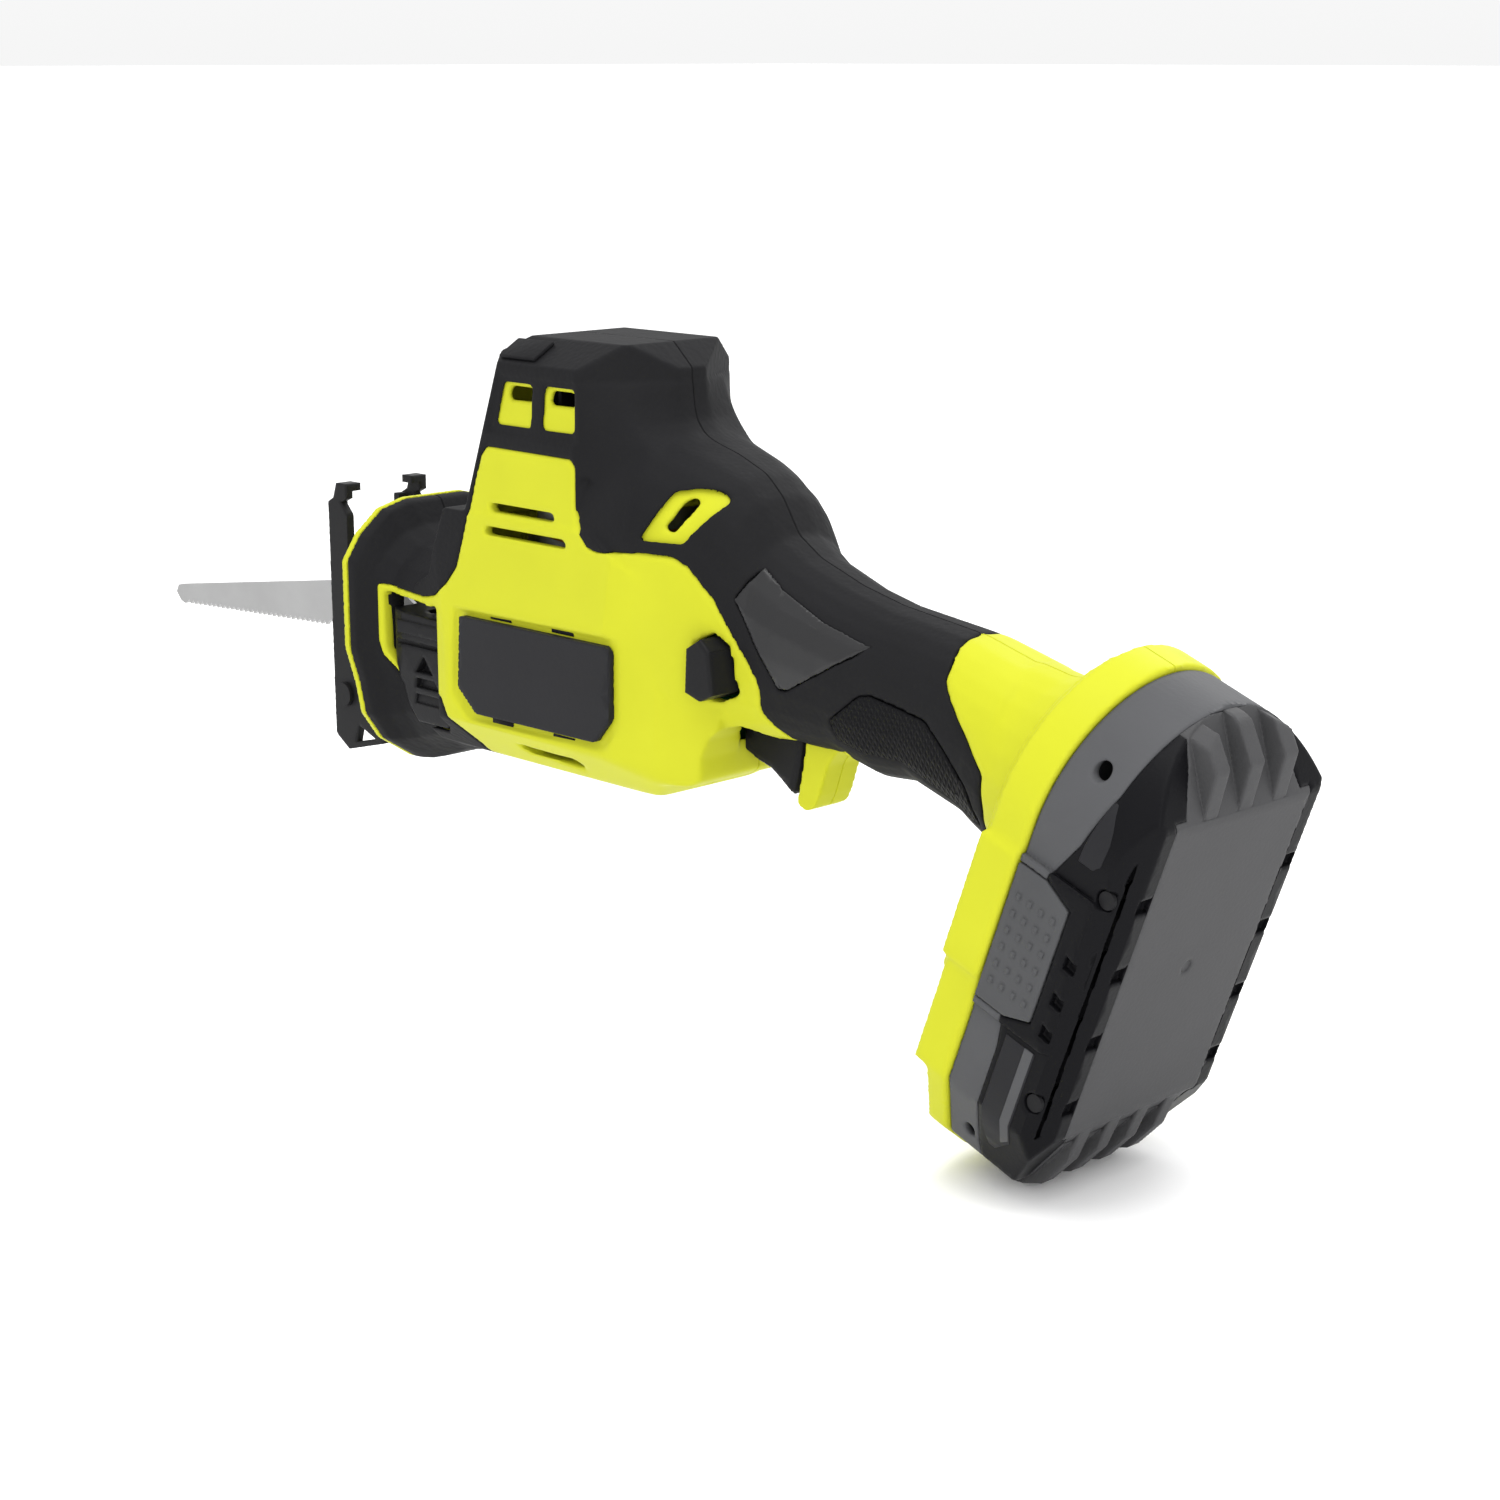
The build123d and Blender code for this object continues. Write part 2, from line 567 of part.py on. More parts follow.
with BuildPart() as rear_bushing:
    add(rod(-125, -118, 8))
    add(rod(-126, -117, REAR_ROD_R + RUN), mode=Mode.SUBTRACT)

# ---------------------------------------------------------------- motor


def ring_post(x, z0, z1, outside, inside):
    """A tube along Z on the middle plane."""
    with BuildPart() as tube:
        with BuildSketch(Plane.XY.offset(z0)):
            with Locations((x, 0)):
                Circle(outside)
                Circle(inside, mode=Mode.SUBTRACT)
        extrude(amount=z1 - z0)
    return tube.part


with BuildPart() as motor_stator:
    add(ring_post(MOTOR_X, STATOR_LOW, STATOR_HIGH, STATOR_R, 18))
    for turn in range(6):
        angle = radians(60 * turn)
        a = (MOTOR_X + 18.5 * cos(angle), 18.5 * sin(angle))
        b = (MOTOR_X + 12.2 * cos(angle), 12.2 * sin(angle))
        side = (2.4 * sin(angle), -2.4 * cos(angle))
        add(plan_prism([(a[0] + side[0], a[1] + side[1]), (a[0] - side[0], a[1] - side[1]),
                        (b[0] - side[0], b[1] - side[1]), (b[0] + side[0], b[1] + side[1])], STATOR_LOW, STATOR_HIGH))

with BuildPart() as motor_windings:
    add(ring_post(MOTOR_X, STATOR_LOW - 4, STATOR_LOW, 20, 13))
    add(ring_post(MOTOR_X, STATOR_HIGH, STATOR_HIGH + 4, 20, 13))

with BuildPart() as motor_rotor:
    add(ring_post(MOTOR_X, STATOR_LOW - 1, STATOR_HIGH + 1, ROTOR_R, SHAFT_R))

with BuildPart() as motor_shaft:
    add(post(MOTOR_X, 0, GEAR_LOW, 85, SHAFT_R))

with BuildPart() as lower_bearing:
    add(ring_post(MOTOR_X, 31, 36, 8, SHAFT_R + RUN))

with BuildPart() as upper_bearing:
    add(ring_post(MOTOR_X, 82, 86, 6.5, SHAFT_R + RUN))

with BuildPart() as fan:
    add(ring_post(MOTOR_X, 73, 74.2, FAN_R, SHAFT_R))
    add(ring_post(MOTOR_X, 74.2, 81, 6, SHAFT_R))
    for blade_no in range(9):
        with BuildSketch(Plane.XY.offset(74.2)):
            with Locations(Plane(origin=(MOTOR_X, 0, 0)).rotated((0, 0, 40 * blade_no))):
                with Locations((12.5, 0)):
                    Rectangle(14, 1.2, rotation=14)
        extrude(amount=6)


def gear_outline(teeth, x, turn, addendum):
    """An involute gear's outline with a little backlash, its first tooth at turn degrees."""
    pitch = MODULE * teeth / 2
    base = pitch * cos(radians(20))
    half = pi / (2 * teeth) - 0.06 * MODULE / pitch
    involute_at_pitch = (sin(radians(20)) / cos(radians(20))) - radians(20)
    root = pitch - 1.25 * MODULE
    radii = [root, max(base, root + 0.05), pitch - 0.2, pitch + addendum * 0.5, pitch + addendum]
    flank = []
    for radius in radii:
        swing = 0.0
        if radius > base:
            pressure = atan2((radius ** 2 - base ** 2) ** 0.5, base)
            swing = sin(pressure) / cos(pressure) - pressure
        flank.append((radius, half + involute_at_pitch - swing))
    points = []
    for tooth in range(teeth):
        middle = radians(turn) + 2 * pi * tooth / teeth
        for radius, spread in flank:
            points.append((x + radius * cos(middle - spread), radius * sin(middle - spread)))
        for radius, spread in reversed(flank):
            points.append((x + radius * cos(middle + spread), radius * sin(middle + spread)))
    return points


with BuildPart() as pinion:
    add(plan_prism(gear_outline(PINION_TEETH, MOTOR_X, 18, 0.8), GEAR_LOW, GEAR_LOW + 9))
    add(post(MOTOR_X, 0, GEAR_LOW - 1, GEAR_LOW + 10, SHAFT_R), mode=Mode.SUBTRACT)

with BuildPart() as crank_gear:
    add(plan_prism(gear_outline(GEAR_TEETH, CRANK_X, 0, 0.8), GEAR_LOW, GEAR_LOW + GEAR_THICK))
    add(post(CRANK_X, 0, GEAR_LOW - 1, 26, 4), mode=Mode.SUBTRACT)
    add(post(CRANK_X, STROKE / 2, GEAR_LOW - 1, GEAR_LOW + 3, PIN_R), mode=Mode.SUBTRACT)

with BuildPart() as counterweight:
    with BuildSketch(Plane.XY.offset(GEAR_LOW + GEAR_THICK)):
        with Locations((CRANK_X, 0)):
            Circle(14.5)
            with Locations((0, 12)):
                Rectangle(60, 22, mode=Mode.SUBTRACT)
            Circle(7)
            Circle(4, mode=Mode.SUBTRACT)
    extrude(amount=2.5)

with BuildPart() as gear_axle:
    add(post(CRANK_X, 0, GEAR_LOW, 35, 4))

with BuildPart() as gear_bearing:
    add(ring_post(CRANK_X, 29, 34, 8, 4 + RUN))

with BuildPart() as crank_pin:
    add(post(CRANK_X, STROKE / 2, YOKE_TOP + FREE, GEAR_LOW + 3, PIN_R))

# ---------------------------------------------------------------- plunger and blade

with BuildPart() as yoke:
    add(block(-99, -83, -17, 17, -YOKE_TOP, YOKE_TOP))
    add(block(-95.3, -86.7, -13, 13, -YOKE_TOP - 1, YOKE_TOP + 1), mode=Mode.SUBTRACT)

with BuildPart() as plunger:
    add(rod(-83, -44, ROD_R))
    add(rod(-128, -99, REAR_ROD_R))
    add(block(-50, -43, -BLADE_THICK / 2, BLADE_THICK / 2, -5, 6), mode=Mode.SUBTRACT)

with BuildPart() as blade_clamp:
    add(rod(-46, -32, 8))
    add(rod(-47, -44, ROD_R), mode=Mode.SUBTRACT)
    add(block(-47, -31, -BLADE_THICK / 2, BLADE_THICK / 2, -5, 6), mode=Mode.SUBTRACT)

with BuildPart() as clamp_collar:
    add(rod(-45, -34.2, 11))
    add(rod(-46, -33, 8 + RUN), mode=Mode.SUBTRACT)
    for turn in range(10):
        angle = radians(36 * turn + 18)
        add(rod(-43, -36, 0.9, 11.2 * cos(angle), 11.2 * sin(angle)), mode=Mode.SUBTRACT)

with BuildPart() as clamp_ring:
    add(rod(-33.9, -32.7, 9.4))
    add(rod(-35, -32, 8), mode=Mode.SUBTRACT)

TEETH = 31
teeth_line = []
for tooth in range(TEETH):
    x = 21.5 + tooth * (103.2 - 21.5) / TEETH
    z = -7.3 - 4.1 * tooth / TEETH
    teeth_line += [(x, z + 1.5), (x + TOOTH_PITCH * 0.72, z - 0.05)]
BLADE_OUTLINE = ([(BLADE_ROOT, -4.5), (-22, -4.5), (-18, -5.8), (0, -6.2), (18.5, -6.6), (20.5, -5.4)] + teeth_line
                 + [(103.4, -11.4), (105.6, -10.6), (BLADE_TIP, -8.0), (106.6, -5.6), (104.5, -5.1), (20.5, 7.2),
                    (0, 10.2), (-12, 10.2), (-18, 7.5), (-22, 5.5), (BLADE_ROOT, 5.5)])

with BuildPart() as blade:
    add(side_prism(BLADE_OUTLINE, -BLADE_THICK / 2, BLADE_THICK / 2))
    add(pin_across(-38, 0.5, -2, 2, 1.6), mode=Mode.SUBTRACT)

# ---------------------------------------------------------------- blade release lever

LEVER = [(-43.2, 10.9), (-69.3, 10.2), (-69.3, -19.6), (-65.7, -22.0), (-52.3, -22.0), (-49.3, -17.2), (-48.9, -11.1),
         (-43.2, -1.2)]
LEVER_PLAN = [(-69.3, 13.6), (-69.3, 27.0), (-50, 26.6), (-46, 25.6), (-43.2, 23.8), (-43.2, 13.6)]
LEVER_FRONT = [(13, 14), (13, -26), (22.4, -26), (25.4, -12), (27.2, -4), (27.2, 14)]
LEVER_MARKS = [[(-59.8, -1.2), (-55.8, -6.2), (-63.8, -6.2)],
               [(-63.8, -8.0), (-55.8, -8.0), (-54.4, -11.0), (-65.2, -11.0)],
               [(-65.4, -13.0), (-54.2, -13.0), (-52.8, -16.0), (-66.8, -16.0)]]

with BuildPart() as release_lever:
    add(side_prism(LEVER, 0, 40))
    add(plan_prism(LEVER_PLAN, -40, 40), mode=Mode.INTERSECT)
    with BuildSketch(across(-80)):
        Polygon(*LEVER_FRONT, align=None)
    extrude(amount=60, mode=Mode.INTERSECT)
    add(block(-68.6, -48.4, 24.6, 27.4, 4.6, 8.4))
    add(block(-70, -42, 25.4, 30, 1.2, 2.6), mode=Mode.SUBTRACT)
    for outline in LEVER_MARKS:
        add(side_prism(outline, 24.0, 30), mode=Mode.SUBTRACT)
    add(post(-57, 18, -8, 12, 3.0), mode=Mode.SUBTRACT)

SPRING_LOW = -8.0
SPRING_HIGH = 14.8
with BuildPart() as lever_spring:
    with BuildLine():
        Helix(pitch=2.4, height=SPRING_HIGH - SPRING_LOW - 1.0, radius=2.1, center=(-57, 18, SPRING_LOW + 0.5))
    with BuildSketch(Plane(origin=(-57 + 2.1, 18, SPRING_LOW + 0.5), z_dir=(0, 1, 0))):
        Circle(0.35)
    sweep()

# ---------------------------------------------------------------- shoe

PIVOT_X, PIVOT_Z = SHOE_PIVOT
FLANGE = [(0, -35.4), (0, 36), (-2.5, 37.4), (-4.2, 42), (-9.4, 42), (-9.4, 37.6), (-6.4, 36.2), (-9.4, 33),
          (-9.4, -14), (-14, -24), (-24.5, -33.0), (-24.5, -35), (-6.3, -39.8), (-0.9, -36.4)]
FLANGE_HOLE = [(-12.0, -31.5), (-10.4, -36.8), (-19.8, -34.4)]

with BuildPart() as shoe:
    for edge in (1, -1):
        low, high = sorted((edge * (SHOE_HALF - SHOE_SHEET), edge * SHOE_HALF))
        add(side_prism(FLANGE, low, high))
        add(side_prism(FLANGE_HOLE, low - 1, high + 1), mode=Mode.SUBTRACT)
    add(block(-SHOE_SHEET, 0, -SHOE_HALF, SHOE_HALF, -35, 36))
    add(block(-5, 1, -SHOE_SLOT, SHOE_SLOT, -14, 60), mode=Mode.SUBTRACT)
    for edge in (1, -1):
        low, high = sorted((edge * SHOE_SLOT, edge * (SHOE_HALF - 1)))
        add(block(-9.4, -4.2, low, high, 39.6, 42))
    add(pin_across(PIVOT_X, PIVOT_Z, -20, 20, PIVOT_R + RUN), mode=Mode.SUBTRACT)

with BuildPart() as shoe_pivot_pin:
    add(pin_across(PIVOT_X, PIVOT_Z, -16, 16, PIVOT_R))
    add(pin_across(PIVOT_X, PIVOT_Z, 15.4, 16.6, 3.6))
    add(pin_across(PIVOT_X, PIVOT_Z, -16.6, -15.4, 3.6))

STRAP = [(-57, -24.6), (-48, -24.6), (-40, -27), (-12, -27), (-7.4, -25.4), (-7.4, -19.6), (-12, -18), (-57, -18)]
with BuildPart() as shoe_bracket:
    for edge in (1, -1):
        low, high = sorted((edge * 10.0, edge * 12.2))
        add(side_prism(STRAP, low, high))
        add(pin_across(PIVOT_X, PIVOT_Z, low, high, 3.3))
        add(pin_across(PIVOT_X, PIVOT_Z, low - 1, high + 1, PIVOT_R), mode=Mode.SUBTRACT)
    add(block(-57, -52, -12.2, 12.2, -24.6, -18))

with BuildPart() as led_lamp:
    add(rod(-52, -47, 3.0, 0, -21.3))

# ---------------------------------------------------------------- handle controls

TRIGGER = [(-171.2, -2), (-171.4, -12.4), (-175, -14.5), (-180.1, -15.9), (-184, -18.4), (-188.4, -21.6),
           (-189.8, -20.4), (-191.4, -13.5), (-192.4, -6.5), (-192.6, -2)]
with BuildPart() as trigger:
    add(side_prism(TRIGGER, -6.2, 6.2))
    chamfer(trigger.edges().filter_by_position(Axis.Z, -22, -14).filter_by(Axis.Y, reverse=True), length=1.0)

with BuildPart() as switch_body:
    add(block(-198, -185, -9, 9, 6, 22))
    add(block(-198, -176, -9, 9, 22.5, 30))
    add(block(-197, -186, -8, 8, 20, 24))

LOCK_BAR = [(-176.4, 21.2), (-179.8, 18.2), (-181.2, 7.2), (-176.2, 4.8), (-170.8, 6.4), (-171.4, 18.2)]
with BuildPart() as lock_off_button:
    add(side_prism(LOCK_BAR, -27.8, 27.8))

with BuildPart() as controller_board:
    add(block(-154, -138.8, -16, 16, -15, 12))

# ---------------------------------------------------------------- battery

CASE_SPLIT = [(-45, 13), (-22, 13.5), (-8, 16.5), (2, 21), (44, 21), (50, 20), (80, 20), (100, 15.5)]
CASE_SIDE = [(-40.5, 14), (-20, 0), (66, 0), (84, 8), (PACK_END + 1, 14), (PACK_END + 1, 90), (-40.5, 90)]
CASE_END = mirrored([(29.5, 0), (PACK_HALF + BULGE + 1, 8.2), (PACK_HALF + BULGE + 1, 90)])
PACK_END_VIEW = Plane(origin=PACK_FOOT, x_dir=(0, 1, 0), z_dir=(sin(SLOPE), 0, -cos(SLOPE)))
LATCH = [(3.5, 29.7), (3.5, 21), (7, 12.5), (38, 12.5), (41, 20), (41, 29.7)]
NOTCHES = (0, CELL_PITCH, 2 * CELL_PITCH, 3 * CELL_PITCH)
BASE_SCREWS = (0, 3 * CELL_PITCH)
cell_places = [-CELL_PITCH / 2 + CELL_PITCH * i for i in range(CELLS)]


def in_pack_end(points, low, high):
    """A prism over an outline seen along the battery's length, from b = low to b = high."""
    with BuildPart() as prism:
        with BuildSketch(PACK_END_VIEW.offset(low)):
            Polygon(*points, align=None)
        extrude(amount=high - low)
    return prism.part


def post_in_pack(b, y, low, high, radius):
    """A cylinder along the battery's height."""
    with BuildPart() as cylinder:
        with BuildSketch(PACK.offset(low)):
            with Locations((b, y)):
                Circle(radius)
        extrude(amount=high - low)
    return cylinder.part


def knob_in_pack(b, h, low, high, radius):
    """A cylinder along Y at a place on the battery's side."""
    with BuildPart() as cylinder:
        with BuildSketch(PACK_SIDE.offset(-high)):
            with Locations((b, h)):
                Circle(radius)
        extrude(amount=high - low)
    return cylinder.part


def cell_set(radius, length, height):
    """The row of cells, as cylinders across the battery."""
    with BuildPart() as cells:
        for place in cell_places:
            with BuildSketch(PACK_SIDE.offset(-length / 2)):
                with Locations((place, height)):
                    Circle(radius)
            extrude(amount=length)
    return cells.part


with BuildPart() as case_form:
    add(pack_slab(0, 0, PACK_HIGH))
    side = PACK_HALF + BULGE
    add(in_pack([(1.5, side), (43, side), (43, -side), (1.5, -side)], 0, PACK_HIGH))
    add(in_pack_side(CASE_SIDE, -50, 50), mode=Mode.INTERSECT)
    add(in_pack_end(CASE_END, -60, 120), mode=Mode.INTERSECT)

with BuildPart() as case_space:
    add(pack_slab(-2.5, 2.6, PACK_HIGH - 2.4))
    add(in_pack_side([(-37, 15.5), (-19, 2.6), (65, 2.6), (82, 10.5), (90, 16), (90, 60), (-37, 60)], -50, 50),
        mode=Mode.INTERSECT)
    add(cell_set(CELL_R + FREE, CELL_LENGTH + 2 * FREE, 12))
    for edge in (1, -1):
        low, high = sorted((edge * 32.0, edge * 50))
        add(in_pack_side(LATCH, low, high))
    add(in_pack_side([(-12, 20), (8.5, 20), (8.5, 80), (-12, 80)], -STEM_HALF + 2.5, STEM_HALF - 2.5))

upper_zone = in_pack_side(CASE_SPLIT + [(100, 95), (-45, 95)], -60, 60)

with BuildPart() as battery_upper_shell:
    add(case_form.part)
    add(in_pack_side([(-15, 26), (11, 26), (11, 84), (-15, 84)], -STEM_HALF, STEM_HALF))
    add(case_space.part, mode=Mode.SUBTRACT)
    add(upper_zone, mode=Mode.INTERSECT)
    for edge in (1, -1):
        low, high = sorted((edge * 20, edge * 50))
        add(knob_in_pack(-23.9, 21, low, high, 2.2), mode=Mode.SUBTRACT)
        add(knob_in_pack(78.3, 23, low, high, 1.7), mode=Mode.SUBTRACT)

with BuildPart() as base_fins:
    for place in (-13, 0, 13):
        add(in_pack_side([(-18, 0), (-32, 1.2), (-39, 8), (-40.5, 14), (-18, 4)], place - 2.6, place + 2.6))
    for place in (-16.5, -5.5, 5.5, 16.5):
        add(in_pack_side([(64, 0), (76, 1.0), (86, 5.5), (92, 14), (64, 4)], place - 2.2, place + 2.2))
    add(pack_slab(-0.4, 0, 20), mode=Mode.INTERSECT)

PLATE_PLAN = [(-21, 25.2), (-8, 25.2), (67, 25.2), (67, -25.2), (-21, -25.2)]
ROUND_PLAN = [(-42, 15), (-30, 18), (-21, 21.5), (-15, 25.2), (-15, -25.2), (-21, -21.5), (-30, -18), (-42, -15)]
CLIPPED_PLAN = [(62, 25.2), (70, 22), (95, 20), (95, -20), (70, -22), (62, -25.2)]

with BuildPart() as cover_zone:
    add(in_pack(PLATE_PLAN, -1, 1.6))
    add(in_pack(ROUND_PLAN, -1, 1.6))
    add(in_pack(ROUND_PLAN[:3] + [(-21, 0)] + ROUND_PLAN[5:], -1, 30))
    add(in_pack(CLIPPED_PLAN, -1, 1.6))
    add(in_pack(CLIPPED_PLAN[1:5], -1, 30))

with BuildPart() as lower_form:
    add(case_form.part)
    add(base_fins.part)
    add(case_space.part, mode=Mode.SUBTRACT)
    add(upper_zone, mode=Mode.SUBTRACT)

with BuildPart() as battery_bottom_cover:
    add(lower_form.part)
    add(cover_zone.part, mode=Mode.INTERSECT)
    add(post_in_pack(23.4, 0, -1, 0.4, 1.6), mode=Mode.SUBTRACT)

with BuildPart() as battery_lower_shell:
    add(lower_form.part)
    add(cover_zone.part, mode=Mode.SUBTRACT)
    for edge in (1, -1):
        for place in NOTCHES:
            low, high = sorted((edge * 25.3, edge * 29.6))
            add(in_pack([(place - 1.9, low), (place + 1.9, low), (place + 1.9, high), (place - 1.9, high)], -1, 1.6),
                mode=Mode.SUBTRACT)
        low, high = sorted((edge * 33.2, edge * 50))
        for place in BASE_SCREWS:
            add(knob_in_pack(place, 5.6, low, high, 2.6), mode=Mode.SUBTRACT)
        low, high = sorted((edge * 28, edge * 34))
        for place in BASE_SCREWS:
            add(knob_in_pack(place, 5.6, low, high, 0.95), mode=Mode.SUBTRACT)
        low, high = sorted((edge * 34.2, edge * 50))
        for place in (19, 29, 38, 79):
            add(in_pack_side([(place - 2, 9.5), (place + 1.4, 9.5), (place + 2, 6.4), (place - 1, 6.4)], low, high),
                mode=Mode.SUBTRACT)

with BuildPart() as battery_screws:
    for edge in (1, -1):
        for place in BASE_SCREWS:
            low, high = sorted((edge * 33.2, edge * 34.2))
            add(knob_in_pack(place, 5.6, low, high, 2.2))
            low, high = sorted((edge * 28.5, edge * 33.2))
            add(knob_in_pack(place, 5.6, low, high, 0.9))

with BuildPart() as battery_cells:
    add(cell_set(CELL_R, CELL_LENGTH, 12))

with BuildPart() as cell_holder:
    add(in_pack([(-17, 27), (74, 27), (74, -27), (-17, -27)], 21.0, 22.6))

with BuildPart() as battery_board:
    add(in_pack([(-8, 20), (70, 20), (70, -20), (-8, -20)], 22.6, 24.2))
    for place in (20, 34, 48):
        add(in_pack([(place, 12), (place + 7, 12), (place + 7, 4), (place, 4)], 24.2, 26.2))

with BuildPart() as battery_terminals:
    for place in (-5.5, 0, 5.5):
        add(in_pack([(-11.5, place - 0.5), (8, place - 0.5), (8, place + 0.5), (-11.5, place + 0.5)], 40, 78))
    add(in_pack([(-11.5, -8), (8, -8), (8, 8), (-11.5, 8)], 40, 44))

with BuildPart() as battery_socket:
    add(in_pack([(-11, -9), (9, -9), (9, 9), (-11, 9)], 86, 92))
    for place in (-7, 3):
        add(in_pack([(place, -11.5), (place + 3, -11.5), (place + 3, 11.5), (place, 11.5)], 87, 90))

def latch(edge):
    """A latch button with a field of small raised pips."""
    with BuildPart() as button:
        with BuildSketch(PACK_SIDE):
            Polygon(*LATCH, align=None)
            offset(amount=-FREE, kind=Kind.INTERSECTION)
        extrude(amount=60 * -edge)
        low, high = sorted((edge * 33.4, edge * (PACK_HALF + BULGE + 0.3)))
        add(in_pack_side([(0, 0), (60, 0), (60, 60), (0, 60)], low, high), mode=Mode.INTERSECT)
        low, high = sorted((edge * 35, edge * (PACK_HALF + BULGE + 0.8)))
        for column in range(6):
            for row in range(4):
                b = 10.5 + 4.6 * column
                h = 15 + 3.6 * row
                add(in_pack_side([(b, h), (b + 1.7, h), (b + 1.7, h + 1.2), (b, h + 1.2)], low, high))
    return button.part


with BuildPart() as left_latch:
    add(latch(1))

with BuildPart() as right_latch:
    add(latch(-1))


# ---------------------------------------------------------------- export

write(left_housing, "left_housing")
write(right_housing, "right_housing")
write(left_overmold, "left_overmold")
write(right_overmold, "right_overmold")
write(left_grip_pad, "left_grip_pad")
write(right_grip_pad, "right_grip_pad")
write(left_smooth_panel, "left_smooth_panel")
write(right_smooth_panel, "right_smooth_panel")
write(left_label_plate, "left_label_plate")
write(right_label_plate, "right_label_plate")
write(housing_screws, "housing_screws")
write(nose_ring, "nose_ring")
write(gear_case, "gear_case")
write(gear_case_cover, "gear_case_cover")
write(front_bushing, "front_bushing")
write(felt_seal, "felt_seal")
write(rear_bushing, "rear_bushing")
write(motor_stator, "motor_stator")
write(motor_windings, "motor_windings")
write(motor_rotor, "motor_rotor")
write(motor_shaft, "motor_shaft")
write(lower_bearing, "lower_bearing")
write(upper_bearing, "upper_bearing")
write(fan, "fan")
write(pinion, "pinion")
write(crank_gear, "crank_gear")
write(counterweight, "counterweight")
write(gear_axle, "gear_axle")
write(gear_bearing, "gear_bearing")
write(crank_pin, "crank_pin")
write(yoke, "yoke")
write(plunger, "plunger")
write(blade_clamp, "blade_clamp")
write(clamp_collar, "clamp_collar")
write(clamp_ring, "clamp_ring")
write(blade, "blade")
write(release_lever, "release_lever")
write(lever_spring, "lever_spring")
write(shoe, "shoe")
write(shoe_pivot_pin, "shoe_pivot_pin")
write(shoe_bracket, "shoe_bracket")
write(led_lamp, "led_lamp")
write(trigger, "trigger")
write(switch_body, "switch_body")
write(lock_off_button, "lock_off_button")
write(controller_board, "controller_board")
write(battery_upper_shell, "battery_upper_shell")
write(battery_lower_shell, "battery_lower_shell")
write(battery_bottom_cover, "battery_bottom_cover")
write(battery_cells, "battery_cells")
write(cell_holder, "cell_holder")
write(battery_board, "battery_board")
write(battery_terminals, "battery_terminals")
write(battery_socket, "battery_socket")
write(battery_screws, "battery_screws")
write(left_latch, "left_latch")
write(right_latch, "right_latch")
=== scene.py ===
"""Looks, light and camera for the cordless reciprocating saw. Units are metres, in the part's own frame."""

import json
import math

import bmesh
import bpy
from mathutils import Matrix, Vector
from mathutils.bvhtree import BVHTree


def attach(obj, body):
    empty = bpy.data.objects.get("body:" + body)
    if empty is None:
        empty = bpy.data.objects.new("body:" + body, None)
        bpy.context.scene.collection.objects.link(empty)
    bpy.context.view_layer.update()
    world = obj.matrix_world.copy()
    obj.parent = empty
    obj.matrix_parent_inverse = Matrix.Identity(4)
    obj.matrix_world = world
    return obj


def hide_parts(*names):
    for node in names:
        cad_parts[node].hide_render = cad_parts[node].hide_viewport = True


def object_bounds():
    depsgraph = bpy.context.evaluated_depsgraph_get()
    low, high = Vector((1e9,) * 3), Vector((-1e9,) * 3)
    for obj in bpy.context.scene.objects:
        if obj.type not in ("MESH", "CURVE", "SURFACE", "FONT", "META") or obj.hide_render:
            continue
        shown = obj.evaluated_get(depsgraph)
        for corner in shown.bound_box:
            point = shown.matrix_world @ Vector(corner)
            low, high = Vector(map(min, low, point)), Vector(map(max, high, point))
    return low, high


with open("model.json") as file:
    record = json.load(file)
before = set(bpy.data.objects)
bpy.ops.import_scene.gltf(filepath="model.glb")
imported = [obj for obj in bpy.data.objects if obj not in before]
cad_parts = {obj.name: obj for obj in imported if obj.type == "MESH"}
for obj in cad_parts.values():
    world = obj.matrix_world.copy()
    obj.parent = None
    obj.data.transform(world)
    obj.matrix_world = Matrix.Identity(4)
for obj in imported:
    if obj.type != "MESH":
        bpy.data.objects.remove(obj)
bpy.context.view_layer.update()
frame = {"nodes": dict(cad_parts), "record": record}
nodes = frame["nodes"]


# ---------------------------------------------------------------- materials

def bumped(mat, height, strength, distance):
    """Raises a material's surface by a height socket."""
    tree = mat.node_tree
    bump = tree.nodes.new("ShaderNodeBump")
    bump.inputs["Strength"].default_value = strength
    bump.inputs["Distance"].default_value = distance
    tree.links.new(height, bump.inputs["Height"])
    tree.links.new(bump.outputs["Normal"], tree.nodes["Principled BSDF"].inputs["Normal"])


